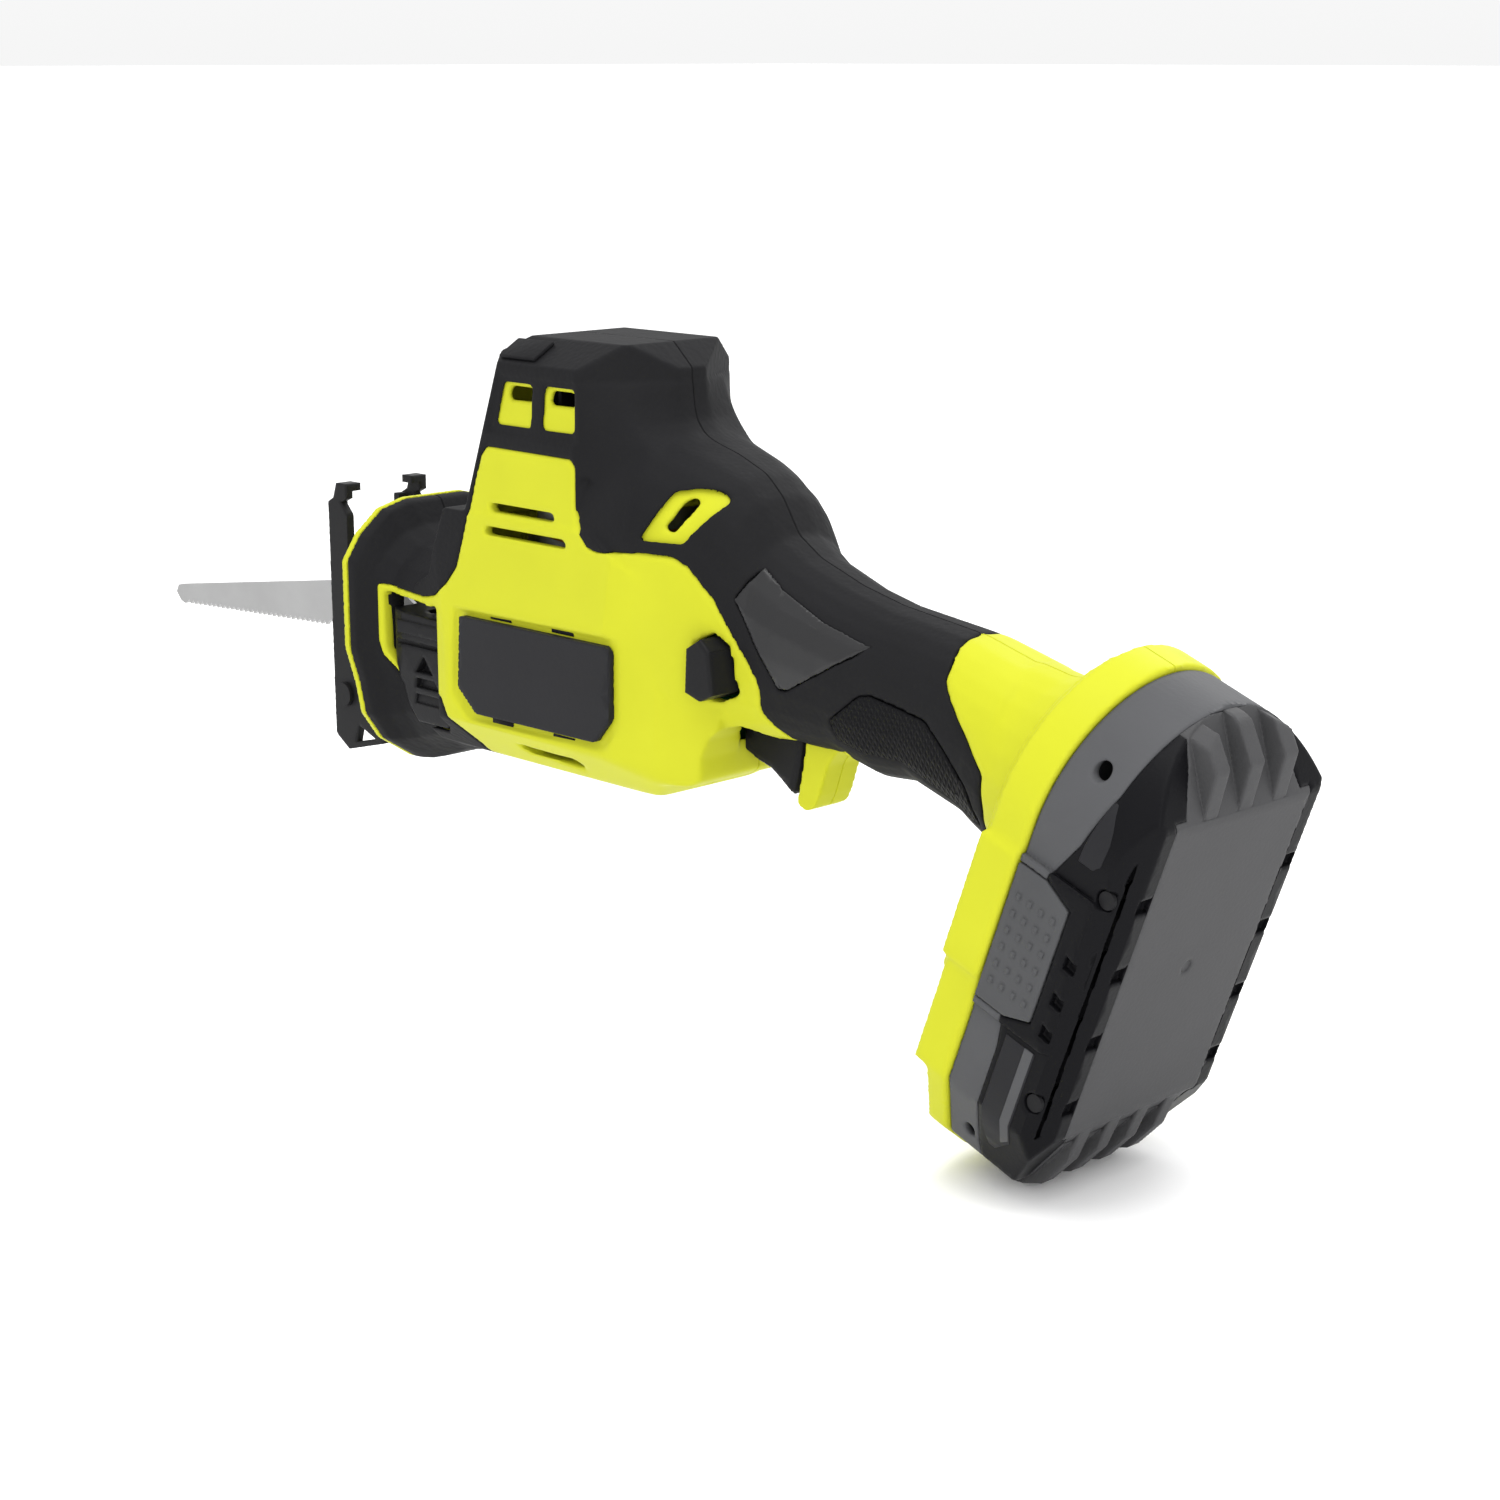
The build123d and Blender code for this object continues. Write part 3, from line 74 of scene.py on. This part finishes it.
def surface(name, colour, rough, metallic=0.0, grain=0.0, grain_scale=900.0, mottle=0.06, coat=0.0, sheen=0.0,
            specular=0.06):
    """A procedural surface: a base colour with slight mottling, uneven gloss and a fine grain."""
    mat = bpy.data.materials.new(name)
    mat.use_nodes = True
    tree = mat.node_tree
    shader = tree.nodes["Principled BSDF"]
    shader.inputs["Metallic"].default_value = metallic
    shader.inputs["Specular IOR Level"].default_value = specular
    shader.inputs["Coat Weight"].default_value = coat
    shader.inputs["Coat Roughness"].default_value = 0.15
    shader.inputs["Sheen Weight"].default_value = sheen
    place = tree.nodes.new("ShaderNodeTexCoord")

    cloud = tree.nodes.new("ShaderNodeTexNoise")
    cloud.inputs["Scale"].default_value = 38.0
    cloud.inputs["Detail"].default_value = 5.0
    tree.links.new(place.outputs["Object"], cloud.inputs["Vector"])
    tint = tree.nodes.new("ShaderNodeValToRGB")
    tint.color_ramp.elements[0].position = 0.3
    tint.color_ramp.elements[1].position = 0.7
    tint.color_ramp.elements[0].color = (*[c * (1 - mottle) for c in colour], 1)
    tint.color_ramp.elements[1].color = (*[min(1, c * (1 + mottle)) for c in colour], 1)
    tree.links.new(cloud.outputs["Fac"], tint.inputs["Fac"])
    tree.links.new(tint.outputs["Color"], shader.inputs["Base Color"])

    gloss = tree.nodes.new("ShaderNodeMapRange")
    gloss.inputs["To Min"].default_value = max(0.03, rough - 0.06)
    gloss.inputs["To Max"].default_value = min(1.0, rough + 0.06)
    tree.links.new(cloud.outputs["Fac"], gloss.inputs["Value"])
    tree.links.new(gloss.outputs["Result"], shader.inputs["Roughness"])

    if grain:
        speck = tree.nodes.new("ShaderNodeTexNoise")
        speck.inputs["Scale"].default_value = grain_scale
        speck.inputs["Detail"].default_value = 3.0
        tree.links.new(place.outputs["Object"], speck.inputs["Vector"])
        bumped(mat, speck.outputs["Fac"], grain, 0.0002)
    return mat


def leather(name, colour, rough, cell_scale=650.0, strength=0.35):
    """Rubber with a fine leather-like grain: small cells over a soft noise."""
    mat = surface(name, colour, rough, mottle=0.10)
    tree = mat.node_tree
    place = tree.nodes.new("ShaderNodeTexCoord")
    cells = tree.nodes.new("ShaderNodeTexVoronoi")
    cells.feature = "SMOOTH_F1"
    cells.inputs["Scale"].default_value = cell_scale
    tree.links.new(place.outputs["Object"], cells.inputs["Vector"])
    bumped(mat, cells.outputs["Distance"], strength, 0.0003)
    return mat


def diamonds(name, colour, rough, wave_scale=195.3125):
    """Rubber with a raised diamond pattern, made of two crossing waves over the side view."""
    mat = surface(name, colour, rough, mottle=0.08)
    tree = mat.node_tree
    place = tree.nodes.new("ShaderNodeTexCoord")
    heights = []
    for turn in (35, -35):
        line = tree.nodes.new("ShaderNodeMapping")
        line.inputs["Rotation"].default_value = (0, math.radians(turn), 0)
        tree.links.new(place.outputs["Object"], line.inputs["Vector"])
        wave = tree.nodes.new("ShaderNodeTexWave")
        wave.bands_direction = "X"
        wave.inputs["Scale"].default_value = wave_scale
        tree.links.new(line.outputs["Vector"], wave.inputs["Vector"])
        heights.append(wave)
    both = tree.nodes.new("ShaderNodeMath")
    both.operation = "MINIMUM"
    tree.links.new(heights[0].outputs["Fac"], both.inputs[0])
    tree.links.new(heights[1].outputs["Fac"], both.inputs[1])
    bumped(mat, both.outputs["Value"], 0.9, 0.0004)
    return mat


def brushed(name, colour, rough, along=(4.0, 900.0, 900.0), strength=0.12):
    """Metal with fine scratches running along one axis."""
    mat = surface(name, colour, rough, metallic=1.0, mottle=0.08)
    tree = mat.node_tree
    place = tree.nodes.new("ShaderNodeTexCoord")
    stretch = tree.nodes.new("ShaderNodeMapping")
    stretch.inputs["Scale"].default_value = along
    tree.links.new(place.outputs["Object"], stretch.inputs["Vector"])
    scratch = tree.nodes.new("ShaderNodeTexNoise")
    scratch.inputs["Scale"].default_value = 2.0
    scratch.inputs["Detail"].default_value = 4.0
    tree.links.new(stretch.outputs["Vector"], scratch.inputs["Vector"])
    bumped(mat, scratch.outputs["Fac"], strength, 0.0002)
    return mat


LIME = (0.47, 0.485, 0.022)
finish = {
    "lime_plastic": surface("lime plastic", LIME, 0.42, grain=0.12, grain_scale=1400, mottle=0.025),
    "black_rubber": leather("black rubber", (0.011, 0.011, 0.012), 0.60),
    "grip_rubber": diamonds("grip rubber", (0.006, 0.006, 0.007), 0.55),
    "smooth_rubber": surface("smooth rubber", (0.008, 0.008, 0.009), 0.34, mottle=0.08, specular=0.4),
    "label_plastic": surface("label plastic", (0.018, 0.018, 0.020), 0.42, grain=0.15, grain_scale=700,
                             mottle=0.05),
    "screw_steel": brushed("screw steel", (0.07, 0.07, 0.075), 0.4),
    "cast_alloy": surface("cast alloy", (0.55, 0.55, 0.56), 0.45, metallic=1.0, grain=0.3, grain_scale=700),
    "bronze": surface("bronze", (0.50, 0.33, 0.16), 0.4, metallic=1.0, grain=0.2),
    "felt": surface("felt", (0.62, 0.60, 0.52), 0.95, grain=0.8, grain_scale=1500, sheen=0.5),
    "core_steel": brushed("core steel", (0.32, 0.32, 0.33), 0.45, along=(900.0, 900.0, 4.0)),
    "copper_wire": brushed("copper wire", (0.72, 0.33, 0.13), 0.3, along=(40.0, 40.0, 1500.0)),
    "bright_steel": brushed("bright steel", (0.58, 0.58, 0.59), 0.28),
    "black_plastic": surface("black plastic", (0.012, 0.012, 0.013), 0.36, grain=0.15, grain_scale=1200),
    "blade_steel": brushed("blade steel", (0.33, 0.33, 0.33), 0.38, along=(8.0, 900.0, 900.0)),
    "black_metal": surface("black metal", (0.014, 0.014, 0.015), 0.38, grain=0.10, grain_scale=900),
    "clear_lens": surface("clear lens", (0.85, 0.88, 0.92), 0.08, mottle=0.02, coat=0.6),
    "board_green": surface("board green", (0.03, 0.16, 0.08), 0.35, mottle=0.2, coat=0.3),
    "grey_plastic": surface("grey plastic", (0.074, 0.075, 0.079), 0.46, grain=0.22, grain_scale=1000),
    "case_black": surface("case black", (0.005, 0.005, 0.006), 0.38, grain=0.20, grain_scale=1000),
    "base_grey": surface("base grey", (0.058, 0.058, 0.060), 0.50, grain=0.30, grain_scale=900),
    "cell_wrap": surface("cell wrap", (0.008, 0.008, 0.009), 0.4),
    "contact_brass": surface("contact brass", (0.75, 0.55, 0.25), 0.3, metallic=1.0, grain=0.1),
    "latch_grey": surface("latch grey", (0.066, 0.067, 0.070), 0.48, grain=0.20, grain_scale=1000),
}


# ---------------------------------------------------------------- shapes from the CAD pieces

node_slot = {s["node"]: s["material_slot"] for s in frame["record"]["subparts"]}
node_body = {n: b for b, names in frame["record"]["behaviour"]["bodies"].items() for n in names}
MM = 0.001
SHARP = math.radians(27)      # an edge steeper than this is a real edge of the piece
HALF_GAP = 0.06 * MM          # the two halves' faces lie within this of the middle plane
HALF_OVERLAP = 0.1 * MM       # they are moved past it by this, so that the halves join


def linked(name, work):
    """A new object made from a finished bmesh."""
    mesh = bpy.data.meshes.new(name)
    work.to_mesh(mesh)
    work.free()
    obj = bpy.data.objects.new(name, mesh)
    bpy.context.scene.collection.objects.link(obj)
    return obj


def bevelled(obj, width, segments=1):
    """Adds a narrow bevel to an object's real edges."""
    bevel = obj.modifiers.new("bevel", "BEVEL")
    bevel.width = width
    bevel.segments = segments
    bevel.limit_method = "ANGLE"
    bevel.angle_limit = math.radians(35)


def settled(obj, crease):
    """Applies an object's modifiers, then shades it smooth up to a crease angle."""
    graph = bpy.context.evaluated_depsgraph_get()
    mesh = bpy.data.meshes.new_from_object(obj.evaluated_get(graph))
    obj.modifiers.clear()
    old = obj.data
    obj.data = mesh
    bpy.data.meshes.remove(old)
    mesh.polygons.foreach_set("use_smooth", [True] * len(mesh.polygons))
    mesh.set_sharp_from_angle(angle=math.radians(crease))


def joined_faces(names):
    """A bmesh with the shape of one or more CAD nodes, their flat faces joined back together."""
    work = bmesh.new()
    for name in names:
        work.from_mesh(nodes[name].data)
    bmesh.ops.remove_doubles(work, verts=work.verts, dist=0.01 * MM)
    bmesh.ops.dissolve_limit(work, angle_limit=math.radians(0.6), verts=work.verts, edges=work.edges)
    return work


def dress(obj, names):
    """Gives a piece its nodes' slot and finish, and lets it ride and stand for those nodes."""
    slot = node_slot[names[0]]
    obj.data.materials.clear()
    obj.data.materials.append(finish[slot])
    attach(obj, node_body[names[0]])
    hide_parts(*names)


def ramp(value, start, end):
    """0 before start, 1 after end, straight in between."""
    return max(0.0, min(1.0, (value - start) / (end - start)))


def soften(obj, rounds, weight=None):
    """Evens out a mesh, everywhere or by a weight that depends on the place."""
    smooth = obj.modifiers.new("smooth", "SMOOTH")
    smooth.factor = 0.5
    smooth.iterations = rounds
    if weight:
        group = obj.vertex_groups.new(name="soft")
        steps = {}
        for vert in obj.data.vertices:
            level = round(weight(vert.co) * 10)
            if level:
                steps.setdefault(level, []).append(vert.index)
        for level, members in steps.items():
            group.add(members, level / 10, "REPLACE")
        smooth.vertex_group = group.name
    settled(obj, 180)
    obj.vertex_groups.clear()


def handle_zone(co):
    """How much the handle and the shoulder behind the tower are evened out."""
    return ramp(-co.x, 0.146, 0.156) * max(ramp(co.z, 0.030, 0.040), ramp(-co.x, 0.214, 0.220))


def belly_zone(co):
    """The rounded lower corner of the motor body."""
    return ramp(-co.x, 0.118, 0.130) * ramp(0.172 + co.x, 0.0, 0.006) * ramp(-co.z, 0.012, 0.018)


def sweep_zone(co):
    """The hollow where the tower's rear runs into the shoulder."""
    return ramp(-co.x, 0.1325, 0.1375) * ramp(co.z, 0.050, 0.058) * ramp(0.082 - co.z, 0.0, 0.004)


def seam(obj, half_width, depth):
    """Cuts a fine V groove along the middle plane, where the two halves meet."""
    work = bmesh.new()
    work.from_mesh(obj.data)
    for y in (-half_width, 0.0, half_width):
        near = [f for f in work.faces if any(abs(v.co.y) < 2.5 * MM for v in f.verts)]
        geom = near + list({e for f in near for e in f.edges}) + list({v for f in near for v in f.verts})
        bmesh.ops.bisect_plane(work, geom=geom, dist=1e-6, plane_co=(0, y, 0), plane_no=(0, 1, 0))
    work.normal_update()
    moves = [(v, v.normal.copy()) for v in work.verts if abs(v.co.y) < 2e-6]
    for vert, normal in moves:
        normal.y = 0
        if normal.length > 0.3:
            vert.co -= normal.normalized() * depth
    work.to_mesh(obj.data)
    work.free()


def moulded(names, voxel, rounds, zones):
    """A left and a right half as one moulded piece with soft edges and a seam between the halves."""
    work = joined_faces(names)
    for vert in work.verts:
        if 0 < abs(vert.co.y) < HALF_GAP:
            vert.co.y = -math.copysign(HALF_OVERLAP, vert.co.y)
    obj = linked(names[0] + "_shape", work)
    bevelled(obj, 0.5 * MM, 2)
    remesh = obj.modifiers.new("remesh", "REMESH")
    remesh.mode = "VOXEL"
    remesh.voxel_size = voxel
    settled(obj, 180)
    soften(obj, rounds)
    for zone, more in zones:
        soften(obj, more, zone)
    seam(obj, 0.28 * MM, 0.45 * MM)
    obj.data.polygons.foreach_set("use_smooth", [True] * len(obj.data.polygons))
    obj.data.set_sharp_from_angle(angle=math.radians(50))
    dress(obj, names)
    return obj


def split_long(work, edges_of, limit, rounds):
    """Splits the edges that edges_of gives until none is longer than a limit."""
    for _ in range(rounds):
        edges = [e for e in edges_of() if e.calc_length() > limit]
        if not edges:
            break
        bmesh.ops.subdivide_edges(work, edges=edges, cuts=1)
        bmesh.ops.triangulate(work, faces=[f for f in work.faces if len(f.verts) > 3])


def is_sharp(edge):
    """True on a real edge of the piece, and not inside a curved face or beside a sliver."""
    if len(edge.link_faces) != 2 or edge.calc_face_angle(0.0) < SHARP:
        return False
    return min(face.calc_area() for face in edge.link_faces) > 0.03 * MM * edge.calc_length()


def beside_sharp(work):
    """The edges that meet a real edge of the piece."""
    return {e for sharp in work.edges if is_sharp(sharp) for v in sharp.verts for e in v.link_edges}


def worn(name, longest, press, near=0.9 * MM):
    """The shape of a CAD node as a fine mesh whose sharp edges are pressed down."""
    work = joined_faces([name])
    bmesh.ops.triangulate(work, faces=work.faces)
    split_long(work, lambda: work.edges, longest, 8)
    split_long(work, lambda: beside_sharp(work), near, 2)
    work.normal_update()
    rim = {v for e in work.edges if is_sharp(e) for v in e.verts}
    for vert, move in [(v, v.normal * press) for v in rim]:
        vert.co -= move
    obj = linked(name + "_shape", work)
    obj.data.polygons.foreach_set("use_smooth", [True] * len(obj.data.polygons))
    obj.data.set_sharp_from_angle(angle=math.radians(55))
    dress(obj, [name])
    return obj


def lined(shell, skins, reach):
    """Splits off the part of a shell that lies under the skins, in black, so that no joint shows colour."""
    skin = bmesh.new()
    for piece in skins:
        skin.from_mesh(piece.data)
    tree = BVHTree.FromBMesh(skin)
    skin.free()
    hidden = bmesh.new()
    hidden.from_mesh(shell.data)
    hidden.faces.ensure_lookup_table()
    shown = set()
    for face in hidden.faces:
        middle = face.calc_center_median() - face.normal * 0.2 * MM
        place, normal = tree.ray_cast(middle, face.normal, reach)[:2]
        if place is None or normal.dot(face.normal) > -0.88:
            side = face.normal.orthogonal().normalized() * 0.8 * MM
            over = face.normal.cross(side)
            steps = (side, -side, over, -over)
            around = [tree.ray_cast(middle + step, face.normal, reach)[0] for step in steps]
            if around.count(None) > 2:
                shown.add(face.index)
    for _ in range(2):
        shown |= {f.index for k in shown for e in hidden.faces[k].edges for f in e.link_faces}
    kept = hidden.copy()
    kept.faces.ensure_lookup_table()
    bmesh.ops.delete(hidden, geom=[f for f in hidden.faces if f.index in shown], context="FACES")
    bmesh.ops.delete(kept, geom=[f for f in kept.faces if f.index not in shown], context="FACES")
    kept.to_mesh(shell.data)
    kept.free()
    lining = linked("housing_lining", hidden)
    lining.data.materials.clear()
    lining.data.materials.append(finish["black_rubber"])
    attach(lining, "housing")
    return lining


def thinned(obj, share):
    """Joins a piece's faces where it is nearly flat, down to a share of their number."""
    thin = obj.modifiers.new("thin", "DECIMATE")
    thin.ratio = share
    settled(obj, 50)


SHELL_ZONES = ((handle_zone, 12), (sweep_zone, 40))
skin = moulded(["left_overmold", "right_overmold"], 0.6 * MM, 4, SHELL_ZONES)
shell = moulded(["left_housing", "right_housing"], 0.7 * MM, 3, (*SHELL_ZONES, (belly_zone, 60)))

skins = [skin]
for side in ("left", "right"):
    skins.append(worn(side + "_grip_pad", 2.5 * MM, 0.25 * MM))
    skins.append(worn(side + "_smooth_panel", 2.5 * MM, 0.35 * MM))
    worn(side + "_label_plate", 5.0 * MM, 0.30 * MM)

EDGE_WEAR = {                 # how far each piece's edges are pressed down, in millimetres
    "nose_ring": 0.25, "release_lever": 0.20, "shoe": 0.15, "shoe_bracket": 0.15, "trigger": 0.30,
    "lock_off_button": 0.25, "left_latch": 0.15, "right_latch": 0.15, "battery_bottom_cover": 0.20,
    "battery_upper_shell": 0.25, "battery_lower_shell": 0.20, "clamp_collar": 0.20,
}
for name, press in EDGE_WEAR.items():
    worn(name, 5.0 * MM, press * MM)

for name, obj in nodes.items():
    if not obj.hide_render:
        obj.data.materials.clear()
        obj.data.materials.append(finish[node_slot[name]])
        obj.data.polygons.foreach_set("use_smooth", [True] * len(obj.data.polygons))
        obj.data.set_sharp_from_angle(angle=math.radians(30))


# the covered part of the shell is black, so the joints between the skins stay dark
lining = lined(shell, skins, 1.0 * MM)
for obj, share in ((skin, 0.4), (shell, 0.4), (lining, 0.1)):
    thinned(obj, share)


# ---------------------------------------------------------------- fine details

# where the battery's own axes lie, and the planes that outlines stand on
SLOPE = math.radians(20)
PACK = Matrix(((math.sin(SLOPE), 0, math.cos(SLOPE), -0.321), (0, 1, 0, 0),
               (-math.cos(SLOPE), 0, math.sin(SLOPE), -0.0186), (0, 0, 0, 1)))
SIDE_VIEW = Matrix(((1, 0, 0, 0), (0, 0, 1, 0), (0, 1, 0, 0), (0, 0, 0, 1)))
END_VIEW = Matrix(((0, 0, 1, 0), (1, 0, 0, 0), (0, 1, 0, 0), (0, 0, 0, 1)))
TOP_VIEW = Matrix.Identity(4)


def finished(obj, slot, body):
    """Gives an added piece its finish, its slot and the body that it rides."""
    settled(obj, 40)
    obj.data.materials.clear()
    obj.data.materials.append(finish[slot])
    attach(obj, body)


def detail(name, place, outlines, low, high, slot, body, bevel):
    """Prisms over outlines in millimetres, between two levels above a plane."""
    work = bmesh.new()
    for outline in outlines:
        loops = []
        for level in (low, high):
            loops.append([work.verts.new((a * MM, b * MM, level * MM)) for a, b in outline])
        work.faces.new(loops[0])
        work.faces.new(loops[1])
        for k in range(len(outline)):
            n = (k + 1) % len(outline)
            work.faces.new((loops[0][k], loops[0][n], loops[1][n], loops[1][k]))
    bmesh.ops.transform(work, matrix=place, verts=work.verts)
    bmesh.ops.recalc_face_normals(work, faces=work.faces)
    obj = linked(name, work)
    bevelled(obj, bevel * MM, 2)
    finished(obj, slot, body)


def flipped(outline):
    """The same outline mirrored left to right."""
    return [(-a, b) for a, b in outline]


# the raised pads on the tower's top bevels, the blank panel on its top and the coloured strip beside it
BEVEL_PAD = [(19.4, 91.0), (26.6, 86.9), (27.2, 87.9), (20.0, 92.1)]
detail("tower_pads", END_VIEW, [BEVEL_PAD, flipped(BEVEL_PAD)], -112, -97.2,
       "black_rubber", "housing", bevel=0.5)
TOP_PANEL = [(-99.5, 11.5), (-99.5, -11.5), (-121, -11.5), (-130, -4), (-130, 4), (-121, 11.5)]
detail("top_panel", TOP_VIEW, [TOP_PANEL],
       92.0, 92.45, "smooth_rubber", "housing", bevel=0.15)
detail("top_strip", TOP_VIEW, [[(-112, 14.8), (-121.6, 14.8), (-134.4, 3.2), (-134.4, 1.2), (-121.2, 13.2)]],
       92.0, 92.48, "lime_plastic", "housing", bevel=0.1)

# a wall inside the nose, in front of the lever's window
detail("window_jamb", SIDE_VIEW, [[(-42.1, -3), (-40.2, -3), (-40.2, 15.6), (-42.1, 15.6)]], 19.5, 25.2,
       "black_plastic", "housing", bevel=0.1)

# slots above and below the name plate
SLOTS = []
for start in (-94, -120):
    SLOTS.append([(start, 15.2), (start - 9, 15.2), (start - 9, 17.4), (start, 17.4)])
    SLOTS.append([(start, -12.9), (start - 9, -12.9), (start - 9, -14.7), (start, -14.7)])
for side, sign in (("left", 1), ("right", -1)):
    low, high = sorted((sign * 27.2, sign * 29.3))
    detail(side + "_plate_slots", SIDE_VIEW, SLOTS, low, high, "case_black", "housing", bevel=0.1)


CASE_HALF = 35                # the battery's half-width, the radius of its round end
ROUND_END = -5                # the round end's centre, along the battery
TAPER_START = 66              # where the other end starts to narrow
TAPER = 8 / 18


def case_half(b):
    """Half-width of the battery's case at a place along it, in millimetres."""
    if b < ROUND_END:
        return math.sqrt(CASE_HALF ** 2 - (b - ROUND_END) ** 2)
    return CASE_HALF - max(0, b - TAPER_START) * TAPER


def side_panel(name, side, stations, proud, slot):
    """A thin panel that follows the battery's side; stations give place along, lower and upper height."""
    work = bmesh.new()
    rows = []
    for b, low, high in stations:
        row = []
        for out, h in ((proud, low), (proud, high), (-0.6, high), (-0.6, low)):
            row.append(work.verts.new(PACK @ Vector((b * MM, side * (case_half(b) + out) * MM, h * MM))))
        rows.append(row)
    for one, two in zip(rows, rows[1:]):
        for k in range(4):
            n = (k + 1) % 4
            work.faces.new((one[k], one[n], two[n], two[k]))
    work.faces.new(rows[0])
    work.faces.new(rows[-1])
    bmesh.ops.recalc_face_normals(work, faces=work.faces)
    obj = linked(name, work)
    bevelled(obj, 0.15 * MM)
    finished(obj, slot, "battery")


UPPER_LABEL = [(-20.5, 12.6, 13.6), (-18, 11.6, 14.2), (-15, 10.2, 14.7), (-12, 9.4, 15.1), (-9, 9.4, 15.4),
               (-6.6, 9.4, 15.5), (-4.8, 11.0, 15.5)]
LOWER_LABEL = [(45, 9.2, 18.4), (56, 9.2, 18.4), (66, 9.2, 18.4), (72, 9.2, 18.4), (75, 12.0, 17.6),
               (77.5, 14.2, 16.2)]
LOWER_BAND = [(45, 9.6, 12.4), (56, 9.6, 12.4), (66, 9.6, 12.4), (71.4, 9.6, 12.4), (73.6, 12.0, 12.4)]
for side, sign in (("left", 1), ("right", -1)):
    side_panel(side + "_upper_label", sign, UPPER_LABEL, 0.22, "label_plastic")
    side_panel(side + "_lower_label", sign, LOWER_LABEL, 0.22, "label_plastic")
    side_panel(side + "_label_band", sign, LOWER_BAND, 0.32, "grey_plastic")


# ---------------------------------------------------------------- stage, light and camera

FLOOR_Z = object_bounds()[0][2] - 0.5 * MM
FLOOR_HALF = 60.0
corners = [(x * FLOOR_HALF, y * FLOOR_HALF, FLOOR_Z) for x, y in ((-1, -1), (1, -1), (1, 1), (-1, 1))]

floor_mesh = bpy.data.meshes.new("floor")
floor_mesh.from_pydata(corners, [], [(0, 1, 2, 3)])
floor = bpy.data.objects.new("floor", floor_mesh)
bpy.context.scene.collection.objects.link(floor)
floor_mesh.materials.append(surface("floor paper", (0.97, 0.97, 0.97), 0.9, mottle=0.003, specular=0.0))

world = bpy.data.worlds.new("studio")
bpy.context.scene.world = world
world.use_nodes = True
sky = world.node_tree.nodes["Background"]
sky.inputs["Color"].default_value = (1.0, 1.0, 1.0, 1)
aim = world.node_tree.nodes.new("ShaderNodeTexCoord")
parts = world.node_tree.nodes.new("ShaderNodeSeparateXYZ")
rise = world.node_tree.nodes.new("ShaderNodeMapRange")    # a white room, brightest overhead
rise.inputs["To Min"].default_value = 0.92
rise.inputs["To Max"].default_value = 1.5
world.node_tree.links.new(aim.outputs["Generated"], parts.inputs["Vector"])
world.node_tree.links.new(parts.outputs["Z"], rise.inputs["Value"])
world.node_tree.links.new(rise.outputs["Result"], sky.inputs["Strength"])


def lamp(name, place, target, size, power):
    """A square soft light aimed at a point."""
    data = bpy.data.lights.new(name, "AREA")
    data.shape = "SQUARE"
    data.size = size
    data.energy = power
    obj = bpy.data.objects.new(name, data)
    obj.location = place
    obj.rotation_euler = (Vector(target) - Vector(place)).to_track_quat("-Z", "Y").to_euler()
    bpy.context.scene.collection.objects.link(obj)


MIDDLE = (-0.16, 0.0, 0.0)
lamp("key", (-0.35, 0.15, 1.1), MIDDLE, 0.8, 6)
lamp("fill", (-1.0, 0.7, 0.35), MIDDLE, 0.6, 3)
lamp("rim", (-0.1, -0.9, 0.7), MIDDLE, 0.7, 4)

bpy.context.scene.view_settings.view_transform = "Standard"

YAW = math.radians(44.205)
PITCH = math.radians(13.875)
CAMERA_PLACE = (-0.6911, 0.5101, 0.1664)
LENS = 67.58
ahead = Vector((math.cos(YAW), -math.sin(YAW), 0))
right = Vector((-math.sin(YAW), -math.cos(YAW), 0))
look = ahead * math.cos(PITCH) - Vector((0, 0, math.sin(PITCH)))
above = ahead * math.sin(PITCH) + Vector((0, 0, math.cos(PITCH)))
camera_data = bpy.data.cameras.new("camera")
camera_data.lens = LENS
camera_data.sensor_width = 36.0
camera_data.clip_start = 0.01
camera = bpy.data.objects.new("camera", camera_data)
turn = Matrix((right, above, -look)).transposed().to_4x4()
camera.matrix_world = Matrix.Translation(CAMERA_PLACE) @ turn
bpy.context.scene.collection.objects.link(camera)
bpy.context.scene.camera = camera
